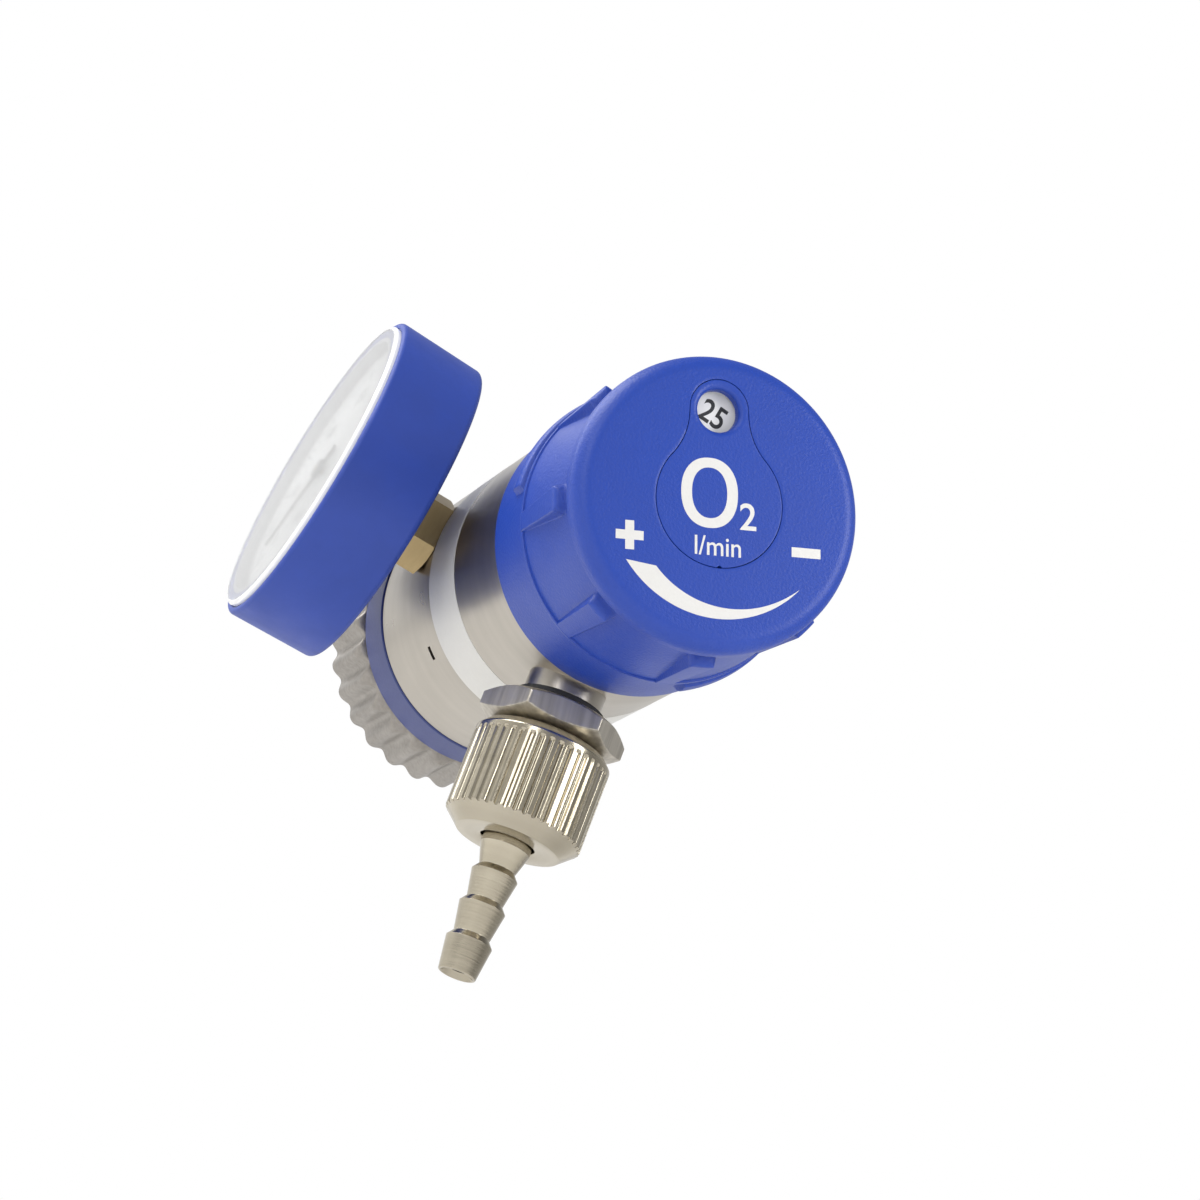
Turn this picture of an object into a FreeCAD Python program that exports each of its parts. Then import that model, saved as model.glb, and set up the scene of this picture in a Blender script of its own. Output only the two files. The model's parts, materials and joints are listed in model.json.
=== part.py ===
import math
import os

import FreeCAD
import Part
from FreeCAD import Vector

os.makedirs("parts", exist_ok=True)

# Oxygen regulator, in millimetres. +Z is up, the knob's face looks along -Y, the outlet points
# down and the gauge stands towards -X. The origin is the middle of the inlet wheel's mouth.
# Angles are in degrees, anticlockwise seen from the front.

# Turns
KNOB_TURN = 20.9
DIAL_TURN = -9.1
GAUGE_RISE = 5.5
VENT_TURN = 136.9
SETTINGS = 12

# Clearances
FIT_GAP = 0.05
RUNNING_GAP = 0.06
FACE_GAP = 0.1
EDGE_BREAK = 0.4
OVERCUT = 1.0

# Main pieces along the axis, front to rear
KNOB_LENGTH = 27.14
COLLAR_GAP = 0.46
COLLAR_LENGTH = 14.8
BODY_LENGTH = 66.8
RING_WIDTH = 10.2
WHEEL_GAP = 0.5
WHEEL_LENGTH = 18.1

# Radii along the axis, as steps from the body's
BODY_R = 25.2
COLLAR_STEP = 0.55
KNOB_STEP = 0.8
RING_STEP = 0.25

# Knob
KNOB_EDGE_ROUND = 3.0
KNOB_LIP = 4.4
KNOB_LIP_STEP = 1.1
KNOB_LIP_SLOPE = 0.6
KNOB_WALL = 1.9
KNOB_FACE_THICK = 2.2
KNOB_FLANGE_STEP = 0.37
KNOB_FLANGE_WIDTH = 1.24
HUB_WALL = 3.0
HUB_LENGTH = 17.8
RIB_COUNT = 8
RIB_SETBACK = 7.0
RIB_FRONT_WIDTH = 4.2
RIB_REAR_WIDTH = 3.2
RIB_FLARE = 0.7
RIB_NOSE_ROUND = 1.3
RIB_FRONT_RISE = 1.2
RIB_REAR_RISE = 0.5

# Window and pear-shaped cover plate in the knob's face
WINDOW_DISTANCE = 16.04
WINDOW_R = 3.75
WINDOW_BEVEL = 1.05
WINDOW_RIM = 1.55
PLATE_THICK = 1.2
PLATE_R = 11.42
PLATE_FLANK_R = 12.0
PLATE_GAP = 0.12
NOTCH_R = 0.35

# Screw that holds the knob on its spindle
KNOB_SCREW_R = 1.5
KNOB_SCREW_HEAD_R = 2.9
KNOB_SCREW_HEAD_DEPTH = 2.1
KNOB_SCREW_SHANK = 10.6
KNOB_SCREW_SLOT = 0.8
KNOB_SCREW_WEB = 1.8

# Spindle
SPINDLE_R = 4.0
SPINDLE_FLAT_DEPTH = 0.9
SPINDLE_TIP_R = 3.0
SPINDLE_TIP_LENGTH = 3.3
DRIVE_FLAT_DEPTH = 0.8
SPINDLE_SEAL_SETBACK = 2.6
SPINDLE_SEAL_SECTION = 0.48

# Number disc, on the front of the fixed collar's sleeve
DIAL_GAP = 0.9
DIAL_THICK = 1.1
DIAL_HOLE_GAP = 1.6
SLEEVE_GAP = 0.7
SLEEVE_WALL = 1.9
COLLAR_WEB = 2.9
LOBE_RISE = 1.25
LOBE_SETBACK = 0.6
LOBE_WIDTH = 4.8
LOBE_SPAN = 67.0
LOBE_MIDDLES = (63.5, -116.5)

# Body
SPIGOT_LENGTH = 4.4
SPIGOT_STEP = 1.3
FRONT_WALL = 6.9
LABEL_SETBACK = 24.1
LABEL_WIDTH = 14.4
LABEL_THICK = 0.13
LABEL_SEAT = 0.12
RING_SEAT = 2.2
CHAMBER_LEDGE = 2.0
CHAMBER_LENGTH = 32.5
GUIDE_R = 6.0
GUIDE_LENGTH = 11.0
VENT_SETBACK = 6.0
VENT_LENGTH = 2.6
VENT_WIDTH = 1.3

# Bonnet that closes the front, and its screws
BONNET_STEP = 1.9
BONNET_THICK = 4.0
TOWER_LENGTH = 6.6
TOWER_WALL = 3.8
PLUG_DEPTH = 3.2
DISC_POCKET_GAP = 0.4
BONNET_SCREWS = 4
BONNET_SCREW_R = 1.55
BONNET_SCREW_HEAD_R = 2.6
BONNET_SCREW_HEAD = 2.1
BONNET_SCREW_SOCKET_R = 1.3
BONNET_SCREW_SOCKET = 1.3
BONNET_SCREW_LENGTH = 11.0
BONNET_SCREW_INSET = 2.3

# Orifice disc, its detent and the block behind it
DISC_GAP = 0.8
DISC_THICK = 1.9
DISC_EDGE = 2.9
DETENT_EDGE = 1.6
DETENT_ANGLE = 45.0
DETENT_DIMPLE = 1.05
ORIFICE_INSET = 3.0
SMALLEST_ORIFICE_R = 0.35
ORIFICE_STEP_R = 0.1
BALL_R = 1.2
BALL_RISE = 0.45
BALL_HOLE_DEPTH = 4.2
DETENT_COIL_R = 0.75
DETENT_WIRE_R = 0.18
BLOCK_LENGTH = 12.0
BLOCK_FEED_R = 1.8
BLOCK_WELL_INSET = 3.2
RETURN_HOLES = 3
RETURN_HOLE_R = 0.9
RETURN_INSET = 1.2
BLOCK_SEAL_SETBACK = 3.0
BLOCK_SEAL_SECTION = 0.78

# Piston
PISTON_SETBACK = 7.0
PISTON_LENGTH = 32.5
HEAD_LENGTH = 6.0
HEAD_SEAL_SECTION = 0.92
TAIL_SEAL_SECTION = 0.66
TAIL_SEAL_RISE = 3.9
PISTON_BORE_R = 1.6
PISTON_CROSS_R = 0.5
SEAT_R = 3.6
SEAT_THICK = 1.6
SPRING_WIRE = 2.2
SPRING_TURNS = 5
SPRING_SEAT = 0.8
SEAT_TRAVEL = 0.7

# Inlet stem with its nozzle, gallery, filter and face seal
STEM_BORE_R = 8.0
NOZZLE_TIP_R = 1.9
NOZZLE_BASE_R = 3.4
NOZZLE_LENGTH = 3.1
STEM_NOSE_R = 5.6
STEM_NOSE = 1.0
GALLERY_SETBACK = 2.3
GALLERY_WIDTH = 2.0
GALLERY_DEPTH = 1.05
GAS_DRILL_R = 1.2
GAS_LINE_INSET = 4.9
NOZZLE_BORE_R = 0.9
NOZZLE_BORE = 8.8
FILTER_R = 4.5
FILTER_SETBACK = 3.0
FILTER_LENGTH = 8.0
STEM_FLANGE_R = 11.6
STEM_FLANGE = 2.5
INLET_SEAL_R = 9.5
INLET_SEAL_SINK = 1.2
INLET_SEAL_THICK = 1.55

# Hand wheel
WHEEL_TIP_R = 27.0
WHEEL_LOBE_DEPTH = 1.7
WHEEL_LOBES = 30
WHEEL_SHOULDER = 3.6
WHEEL_MOUTH_ROUND = 1.5
WHEEL_WALL = 3.4
INLET_THREAD_R = 12.06
THREAD_RELIEF = 0.54
THREAD_RELIEF_GAP = 0.6

# Outlet, measured down from the main axis
OUTLET_SETBACK = 7.34
BOSS_R = 10.4
BOSS_RISE = 1.4
GASKET_THICK = 0.8
GASKET_INSET = 0.6
ADAPTER_SPIGOT_R = 6.55
ADAPTER_BORE_R = 3.0
HEX_ACROSS = 23.5
HEX_HEIGHT = 7.9
HEX_TURN = 21.0
HEX_TOP_R = 11.3
HEX_TOP_BEVEL = 1.3
HEX_FLAT_HEIGHT = 4.0
HEX_FOOT_R = 10.0
OUTLET_THREAD_R = 9.2
OUTLET_THREAD_LENGTH = 11.0
NUT_GAP = 0.4
NUT_R = 12.56
NUT_LENGTH = 19.7
NUT_FLUTES = 44
NUT_FLUTE_DEPTH = 0.42
NUT_PLAIN = 2.5
NUT_TOP_BEVEL = 1.5
NUT_FOOT_BEVEL = 2.8
NUT_FOOT_R = 9.6
NUT_HOLE_R = 5.0
TAIL_HEAD_R = 8.7
TAIL_HEAD = 3.0
TAIL_HEAD_GAP = 0.5
TAIL_SHANK_R = 4.55
TAIL_SHANK_BELOW_NUT = 1.2
TAIL_BORE_R = 2.4
BARB_R = 4.27
BARB_WAIST_R = 3.33
BARB_FIRST = 6.35
BARB_STEPS = (6.22, 6.61)
BARB_BACK = 1.2
TIP_LENGTH = 6.22
TIP_R = 3.45
TIP_ROUND = 0.2
TIP_MOUTH_R = 3.0
TIP_BEVEL = 1.2
OUTLET_SEAL_MEAN_R = 4.4
OUTLET_SEAL_SECTION = 0.78

# Gauge, measured out from the main axis
GAUGE_BEHIND_LABEL = 7.15
GAUGE_STANDOFF = 7.86
BOOT_DEPTH = 18.49
BOOT_R = 31.1
BOOT_DRAFT = 0.5
BOOT_WALL = 3.75
BOOT_FLOOR = 1.89
BOOT_HOLE_R = 11.0
BOOT_BACK_ROUND = 1.2
BOOT_LIP_ROUND = 0.8
LENS_THICK = 1.25
LENS_OVERLAP = 2.4
LENS_BEVEL = 0.5
CASE_WALL = 0.9
CASE_FLOOR = 1.0
GAUGE_THREAD_R = 4.9
GAUGE_THREAD_WALL = 3.5
GAUGE_SPOT_DEPTH = 0.6
SOCKET_ACROSS = 14.0
SOCKET_HEX = 6.2
SOCKET_NECK_R = 5.5
SOCKET_SHOULDER_R = 7.5
SOCKET_BORE_R = 1.1
SOCKET_ARM_WIDTH = 7.0
SOCKET_ARM_HEIGHT = 4.0
DIAL_AIR = 2.3
GAUGE_DIAL_THICK = 0.6
GAUGE_DIAL_EDGE = 0.2
GAUGE_DIAL_HOLE_R = 1.4
POINTER_RISE = 0.5
POINTER_THICK = 0.4
POINTER_LENGTH = 19.0
POINTER_TAIL = 5.5
POINTER_HALF_WIDTH = 0.9
POINTER_HUB_R = 1.9
POINTER_ZERO = 135.0

# Gauge movement: two plates on pillars, a toothed sector, and a pinion on the pointer's arbor
PINION_TEETH = 10
SECTOR_CIRCLE_TEETH = 78
SECTOR_TEETH = 16
SECTOR_TEETH_PAST_MESH = 2
MODULE = 0.25
MOVEMENT_PLATE = 0.8
MOVEMENT_SPACE = 4.1
MOVEMENT_HEAD_R = 6.0
MOVEMENT_WIDTH = 9.0
MOVEMENT_REACH = 5.0
PILLAR_R = 0.8
DIAL_STANDOFF = 0.8
PINION_THICK = 1.2
SECTOR_THICK = 0.8
PINION_ARBOR_R = 0.6
SECTOR_ARBOR_R = 0.5
SECTOR_HUB_R = 1.5
SECTOR_TAIL = 4.3
BOURDON_INSET = 5.4
BOURDON_THICK = 1.8
BOURDON_WIDTH = 4.8
BOURDON_WALL = 0.4
BOURDON_SWEEP = 255.0
BOURDON_TIP = 3.0

# Stations: distances behind the knob's face
COLLAR_FRONT = KNOB_LENGTH + COLLAR_GAP
COLLAR_END = COLLAR_FRONT + COLLAR_LENGTH
RING_FRONT = COLLAR_END + BODY_LENGTH
RING_BACK = RING_FRONT + RING_WIDTH
WHEEL_FRONT = RING_BACK + WHEEL_GAP
WHEEL_MOUTH = WHEEL_FRONT + WHEEL_LENGTH
KNOB_FLANGE_FRONT = KNOB_LENGTH - KNOB_FLANGE_WIDTH
HUB_END = KNOB_FACE_THICK + HUB_LENGTH
SCREW_SEAT = PLATE_THICK + FACE_GAP + KNOB_SCREW_HEAD_DEPTH
SPINDLE_FRONT = SCREW_SEAT + KNOB_SCREW_WEB
DIAL_FRONT = KNOB_FACE_THICK + DIAL_GAP
DIAL_BACK = DIAL_FRONT + DIAL_THICK
BODY_FRONT = COLLAR_END - SPIGOT_LENGTH
BONNET_FRONT = BODY_FRONT - BONNET_THICK
TOWER_FRONT = BONNET_FRONT - TOWER_LENGTH
PLUG_BACK = BODY_FRONT + PLUG_DEPTH
DISC_FRONT = PLUG_BACK + DISC_GAP
DISC_BACK = DISC_FRONT + DISC_THICK
BLOCK_FRONT = DISC_BACK + FACE_GAP
BLOCK_BACK = BLOCK_FRONT + BLOCK_LENGTH
OUTLET_STATION = BLOCK_FRONT + OUTLET_SETBACK
LABEL_FRONT = COLLAR_END + LABEL_SETBACK
LABEL_BACK = LABEL_FRONT + LABEL_WIDTH
VENT_STATION = LABEL_BACK + VENT_SETBACK
GAUGE_STATION = LABEL_BACK + GAUGE_BEHIND_LABEL
CHAMBER_END = BLOCK_BACK + CHAMBER_LENGTH
GUIDE_END = CHAMBER_END + GUIDE_LENGTH
HEAD_FRONT = BLOCK_BACK + PISTON_SETBACK
HEAD_BACK = HEAD_FRONT + HEAD_LENGTH
HEAD_SEAL = HEAD_FRONT + HEAD_LENGTH / 2
PISTON_END = HEAD_FRONT + PISTON_LENGTH
TAIL_SEAL = PISTON_END - TAIL_SEAL_RISE
NOZZLE_TIP = PISTON_END + SEAT_TRAVEL
STEM_SHOULDER = NOZZLE_TIP + NOZZLE_LENGTH + STEM_NOSE
GALLERY_FRONT = STEM_SHOULDER + GALLERY_SETBACK
GALLERY_MIDDLE = GALLERY_FRONT + GALLERY_WIDTH / 2
FILTER_FRONT = NOZZLE_TIP + NOZZLE_BORE + FILTER_SETBACK
WHEEL_WALL_BACK = WHEEL_FRONT + WHEEL_WALL
STEM_FLANGE_FRONT = WHEEL_WALL_BACK + FACE_GAP
STEM_FLANGE_BACK = STEM_FLANGE_FRONT + STEM_FLANGE
THREAD_START = STEM_FLANGE_BACK + THREAD_RELIEF_GAP

# Radii round the main axis
COLLAR_R = BODY_R + COLLAR_STEP
KNOB_R = BODY_R + KNOB_STEP
RING_R = BODY_R + RING_STEP
KNOB_WALL_R = KNOB_R - KNOB_LIP_STEP
KNOB_CAVITY_R = KNOB_WALL_R - KNOB_WALL
KNOB_FLANGE_R = KNOB_R + KNOB_FLANGE_STEP
RIB_FRONT_R = KNOB_R + RIB_FRONT_RISE
RIB_REAR_R = KNOB_R + RIB_REAR_RISE
HUB_R = SPINDLE_R + HUB_WALL
SLEEVE_R = KNOB_CAVITY_R - SLEEVE_GAP
SLEEVE_BORE_R = SLEEVE_R - SLEEVE_WALL
SPIGOT_R = BODY_R - SPIGOT_STEP
RING_SEAT_R = BODY_R - RING_SEAT
BONNET_R = SPIGOT_R - BONNET_STEP
BLOCK_BORE_R = SPIGOT_R - FRONT_WALL
BLOCK_R = BLOCK_BORE_R - FACE_GAP
SCREW_CIRCLE_R = BLOCK_BORE_R + BONNET_SCREW_INSET
TOWER_R = SPINDLE_R + TOWER_WALL
DISC_R = BLOCK_R - DISC_EDGE
DETENT_RADIUS = DISC_R - DETENT_EDGE
ORIFICE_RADIUS = DETENT_RADIUS - ORIFICE_INSET
BLOCK_WELL_R = ORIFICE_RADIUS - BLOCK_WELL_INSET
CHAMBER_R = BLOCK_BORE_R - CHAMBER_LEDGE
SPRING_MEAN_R = (CHAMBER_R + GUIDE_R) / 2
STEM_R = STEM_BORE_R - FIT_GAP
WHEEL_VALLEY_R = WHEEL_TIP_R - WHEEL_LOBE_DEPTH

# Depths below the main axis
BOSS_END = BODY_R + BOSS_RISE
HEX_TOP = BOSS_END + GASKET_THICK
HEX_END = HEX_TOP + HEX_HEIGHT
NUT_TOP = HEX_END + NUT_GAP
NUT_END = NUT_TOP + NUT_LENGTH
THREAD_END = HEX_END + OUTLET_THREAD_LENGTH
TAIL_TOP = THREAD_END + TAIL_HEAD_GAP
TAIL_HEAD_END = TAIL_TOP + TAIL_HEAD
NUT_FLOOR = TAIL_HEAD_END + FACE_GAP
OUTLET_SEAL_DEPTH = TAIL_TOP - OUTLET_SEAL_SECTION
BARB_EDGES = [NUT_END + BARB_FIRST]
for step in BARB_STEPS:
    BARB_EDGES.append(BARB_EDGES[-1] + step)
TIP_END = BARB_EDGES[-1] + TIP_LENGTH

# Distances out along the gauge's axis
GAUGE_BACK = BODY_R + GAUGE_STANDOFF
GAUGE_FRONT = GAUGE_BACK + BOOT_DEPTH
CASE_BACK = GAUGE_BACK + BOOT_FLOOR + FIT_GAP
CASE_R = BOOT_R - BOOT_WALL - FIT_GAP
CASE_BORE_R = CASE_R - CASE_WALL
LENS_BACK = GAUGE_FRONT - LENS_THICK
LENS_R = CASE_R + LENS_OVERLAP
GAUGE_SPOT = BODY_R - GAUGE_SPOT_DEPTH
GAUGE_THREAD_END = CHAMBER_R + GAUGE_THREAD_WALL
GAUGE_DIAL_TOP = LENS_BACK - DIAL_AIR
GAUGE_DIAL_BACK = GAUGE_DIAL_TOP - GAUGE_DIAL_THICK
POINTER_LOW = GAUGE_DIAL_TOP + POINTER_RISE
POINTER_HIGH = POINTER_LOW + POINTER_THICK
UPPER_PLATE_TOP = GAUGE_DIAL_BACK - DIAL_STANDOFF
UPPER_PLATE_LOW = UPPER_PLATE_TOP - MOVEMENT_PLATE
LOWER_PLATE_TOP = UPPER_PLATE_LOW - MOVEMENT_SPACE
SOCKET_TOP = LOWER_PLATE_TOP - MOVEMENT_PLATE
SOCKET_SHOULDER = CASE_BACK + CASE_FLOOR + FIT_GAP
MESH_LEVEL = (LOWER_PLATE_TOP + UPPER_PLATE_LOW) / 2
BOURDON_R = CASE_BORE_R - BOURDON_INSET
SECTOR_PIVOT = -(PINION_TEETH + SECTOR_CIRCLE_TEETH) * MODULE / 2

MAIN_AXIS = Vector(0, 1, 0)
ORIGIN = Vector(0, 0, 0)


def at(station):
    """Y of a station behind the knob's face."""
    return station - WHEEL_MOUTH


def export(name, shape):
    shape.exportStep("parts/%s.step" % name)
    print(name, round(shape.Volume, 1), len(shape.Solids), shape.isValid())


def outline(corners, place):
    """Closed wire through (a, b) corners. A third number rounds that corner with an arc."""
    stretches = []
    for i, corner in enumerate(corners):
        here = place(corner[0], corner[1])
        if len(corner) < 3:
            stretches.append([here])
            continue
        after = corners[(i + 1) % len(corners)]
        to_before = (place(*corners[i - 1][:2]) - here).normalize()
        to_after = (place(*after[:2]) - here).normalize()
        half = to_before.getAngle(to_after) / 2
        back_off = corner[2] / math.tan(half)
        sagitta = corner[2] / math.sin(half) - corner[2]
        middle = here + (to_before + to_after).normalize() * sagitta
        stretches.append([here + to_before * back_off, middle, here + to_after * back_off])
    edges = []
    for i, stretch in enumerate(stretches):
        if len(stretch) == 3:
            edges.append(Part.Arc(*stretch).toShape())
        following = stretches[(i + 1) % len(stretches)][0]
        if stretch[-1].distanceToPoint(following) > 1e-7:
            edges.append(Part.makeLine(stretch[-1], following))
    return Part.Wire(edges)


def turned(corners):
    """Solid of revolution about the main axis from (radius, station) corners."""
    face = Part.Face(outline(corners, lambda r, station: Vector(r, at(station), 0)))
    return face.revolve(ORIGIN, MAIN_AXIS, 360)


def tube(outer, inner, front, back):
    return turned([(inner, front), (outer, front), (outer, back), (inner, back)])


def rod(radius, front, back):
    return turned([(0, front), (radius, front), (radius, back), (0, back)])


def spin(shape, degrees):
    """Turn about the main axis, anticlockwise seen from the front."""
    return shape.rotated(ORIGIN, -MAIN_AXIS, degrees)


def along_axis(radius, x, z, front, back):
    return Part.makeCylinder(radius, back - front, Vector(x, at(front), z), MAIN_AXIS)


def fuse_all(shapes):
    return shapes[0].multiFuse(shapes[1:]).removeSplitter()


def seal_mean_r(shaft_r, section):
    """Mean radius of an O-ring that stands half the running gap proud of its shaft."""
    return shaft_r + RUNNING_GAP / 2 - section


def seal_ring(shaft_r, section, station):
    seal = Part.makeTorus(seal_mean_r(shaft_r, section), section, ORIGIN, MAIN_AXIS)
    return seal.translated(Vector(0, at(station), 0))


def seal_groove(shaft_r, section, station):
    bottom = seal_mean_r(shaft_r, section) - section - FIT_GAP
    half = section + FACE_GAP
    return tube(shaft_r + OVERCUT, bottom, station - half, station + half)


def down(corners):
    """Solid of revolution about the outlet's axis from (radius, depth) corners."""
    face = Part.Face(outline(corners, lambda r, depth: Vector(r, 0, -depth)))
    shape = face.revolve(ORIGIN, Vector(0, 0, 1), 360)
    return shape.translated(Vector(0, at(OUTLET_STATION), 0))


def hexagon(across, turn, level):
    corner_r = across / math.sqrt(3)
    angles = [math.radians(60 * i + turn) for i in range(6)]
    corners = [(corner_r * math.cos(a), corner_r * math.sin(a)) for a in angles]
    return Part.Face(outline(corners, lambda x, y: Vector(x, y, level)))


GAUGE_DIRECTION = Vector(-math.cos(math.radians(GAUGE_RISE)), 0, math.sin(math.radians(GAUGE_RISE)))
GAUGE_UP = Vector(math.sin(math.radians(GAUGE_RISE)), 0, math.cos(math.radians(GAUGE_RISE)))
GAUGE_PLACE = FreeCAD.Placement(Vector(0, at(GAUGE_STATION), 0),
                                FreeCAD.Rotation(GAUGE_UP, MAIN_AXIS, GAUGE_DIRECTION, "ZXY"))


def to_gauge(shape):
    """Lay a shape built along +Z on the gauge's axis. Its +X becomes up."""
    placed = shape.copy()
    placed.Placement = GAUGE_PLACE.multiply(placed.Placement)
    return placed


def outward(corners):
    """Solid of revolution about the gauge's axis from (radius, distance) corners."""
    face = Part.Face(outline(corners, lambda r, distance: Vector(r, 0, distance)))
    return to_gauge(face.revolve(ORIGIN, Vector(0, 0, 1), 360))


def lay_back(shape):
    """Turn a shape built along +Z so that it runs along +Y."""
    return shape.rotated(ORIGIN, Vector(1, 0, 0), -90)


def coil(mean_r, profile, rise, front, back, turns):
    """Wire coiled about the main axis; its section stands 'rise' each way from its middle."""
    length = back - front - 2 * rise
    helix = Part.makeHelix(length / turns, length, mean_r)
    spring = Part.Wire(helix).makePipeShell([profile], True, True)
    return lay_back(spring).translated(Vector(0, at(front) + rise, 0))


def lobed_prism(count, tip_r, valley_r, height):
    """Prism along +Z with rounded lobes: one arc over each lobe, one in each valley."""
    half = math.pi / count
    shoulder_r = (tip_r + valley_r) / 2
    lobe_share = 0.58

    def point(radius, angle):
        return Vector(radius * math.cos(angle), radius * math.sin(angle), 0)

    edges = []
    for lobe in range(count):
        middle = 2 * half * lobe
        start = point(shoulder_r, middle - lobe_share * half)
        end = point(shoulder_r, middle + lobe_share * half)
        after = point(shoulder_r, middle + (2 - lobe_share) * half)
        edges.append(Part.Arc(start, point(tip_r, middle), end).toShape())
        edges.append(Part.Arc(end, point(valley_r, middle + half), after).toShape())
    return Part.Face(Part.Wire(edges)).extrude(Vector(0, 0, height))


def fluted_prism(count, tip_r, depth, height):
    """Prism along +Z with flat-topped ridges and narrower flat-bottomed grooves."""
    ridge = [(tip_r, 0.0), (tip_r, 0.42), (tip_r - depth, 0.62), (tip_r - depth, 0.80)]
    corners = []
    for tooth in range(count):
        for radius, share in ridge:
            angle = 2 * math.pi * (tooth + share) / count
            corners.append((radius * math.cos(angle), radius * math.sin(angle)))
    face = Part.Face(outline(corners, lambda x, y: Vector(x, y, 0)))
    return face.extrude(Vector(0, 0, height))


def pear(big_r, small_r, flank_r, front, back):
    """Cover plate's blank: a big circle, a small one round the window and two hollow flanks."""
    spacing = WINDOW_DISTANCE
    big_reach = big_r + flank_r
    small_reach = small_r + flank_r
    z = (big_reach ** 2 - small_reach ** 2 + spacing ** 2) / (2 * spacing)
    x = math.sqrt(big_reach ** 2 - z ** 2)
    big_x = x * big_r / big_reach
    big_z = z * big_r / big_reach
    small_x = x * small_r / small_reach
    small_z = spacing + (z - spacing) * small_r / small_reach
    toward_flank = Vector((big_x + small_x) / 2 - x, 0, (big_z + small_z) / 2 - z).normalize()
    flank_x = x + flank_r * toward_flank.x
    flank_z = z + flank_r * toward_flank.z

    def arc(*ends):
        return Part.Arc(*[Vector(px, at(front), pz) for px, pz in ends]).toShape()

    wire = Part.Wire([
        arc((big_x, big_z), (0, -big_r), (-big_x, big_z)),
        arc((-big_x, big_z), (-flank_x, flank_z), (-small_x, small_z)),
        arc((-small_x, small_z), (0, spacing + small_r), (small_x, small_z)),
        arc((small_x, small_z), (flank_x, flank_z), (big_x, big_z)),
    ])
    return Part.Face(wire).extrude(Vector(0, back - front, 0))


def rib_outline(flare, z):
    """Outline of one grip rib: rounded at the front and narrower at the back."""
    front = RIB_FRONT_WIDTH / 2 + flare
    rear = RIB_REAR_WIDTH / 2 + flare
    back = KNOB_FLANGE_FRONT + OVERCUT
    corners = [(-rear, back), (-front, RIB_SETBACK, RIB_NOSE_ROUND),
               (front, RIB_SETBACK, RIB_NOSE_ROUND), (rear, back)]
    return outline(corners, lambda x, station: Vector(x, at(station), z))


# Knob: ribbed cup with a hub, a window and a sunk seat for the cover plate
def make_knob():
    cup = turned([(0, 0), (KNOB_R, 0, KNOB_EDGE_ROUND), (KNOB_R, KNOB_LIP),
                  (KNOB_WALL_R, KNOB_LIP + KNOB_LIP_SLOPE), (KNOB_R, KNOB_FLANGE_FRONT),
                  (KNOB_FLANGE_R, KNOB_FLANGE_FRONT), (KNOB_FLANGE_R, KNOB_LENGTH), (0, KNOB_LENGTH)])
    rib_back = KNOB_FLANGE_FRONT + KNOB_FLANGE_WIDTH / 2
    band = turned([(KNOB_CAVITY_R, RIB_SETBACK), (RIB_FRONT_R, RIB_SETBACK, RIB_NOSE_ROUND),
                   (RIB_REAR_R, rib_back), (KNOB_CAVITY_R, rib_back)])
    pad = Part.makeLoft([rib_outline(RIB_FLARE, KNOB_CAVITY_R - OVERCUT),
                         rib_outline(0.0, RIB_FRONT_R + EDGE_BREAK)], True, True)
    pad = pad.common(band)
    pads = [spin(pad, 360.0 / RIB_COUNT * i) for i in range(RIB_COUNT)]
    knob = fuse_all([cup] + pads)

    knob = knob.cut(rod(KNOB_CAVITY_R, KNOB_FACE_THICK, KNOB_LENGTH + OVERCUT))
    knob = fuse_all([knob, rod(HUB_R, KNOB_FACE_THICK / 2, HUB_END)])
    bore = rod(SPINDLE_R + FIT_GAP, SPINDLE_FRONT - FIT_GAP, HUB_END + OVERCUT)
    flat_x = SPINDLE_R - SPINDLE_FLAT_DEPTH + FIT_GAP
    knob = knob.cut(bore.cut(flat_cutter(flat_x, SPINDLE_FRONT - OVERCUT, HUB_END - SPINDLE_FRONT)))
    knob = knob.cut(rod(KNOB_SCREW_R + FACE_GAP, PLATE_THICK - FACE_GAP, SPINDLE_FRONT))
    knob = knob.cut(rod(KNOB_SCREW_HEAD_R + EDGE_BREAK, PLATE_THICK - FACE_GAP, SCREW_SEAT))
    knob = knob.cut(pear(PLATE_R + PLATE_GAP, WINDOW_R + WINDOW_RIM + PLATE_GAP, PLATE_FLANK_R - PLATE_GAP,
                         -OVERCUT, PLATE_THICK))
    return knob.cut(along_axis(WINDOW_R, 0, WINDOW_DISTANCE, -OVERCUT, KNOB_FACE_THICK + OVERCUT))


def flat_cutter(x, front, length):
    """Box that leaves a flat on a shaft at that x, from a station on."""
    size = 4 * SPINDLE_R
    return Part.makeBox(size, length, size, Vector(x, at(front), -size / 2))


def make_cover_plate():
    plate = pear(PLATE_R, WINDOW_R + WINDOW_RIM, PLATE_FLANK_R, 0, PLATE_THICK - FIT_GAP)
    window = Part.makeCone(WINDOW_R + WINDOW_BEVEL, WINDOW_R - FIT_GAP, PLATE_THICK,
                           Vector(0, at(0), WINDOW_DISTANCE), MAIN_AXIS)
    notch = along_axis(NOTCH_R, 0, -PLATE_R, 0, PLATE_THICK / 3)
    return plate.cut(window).cut(notch)


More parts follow.
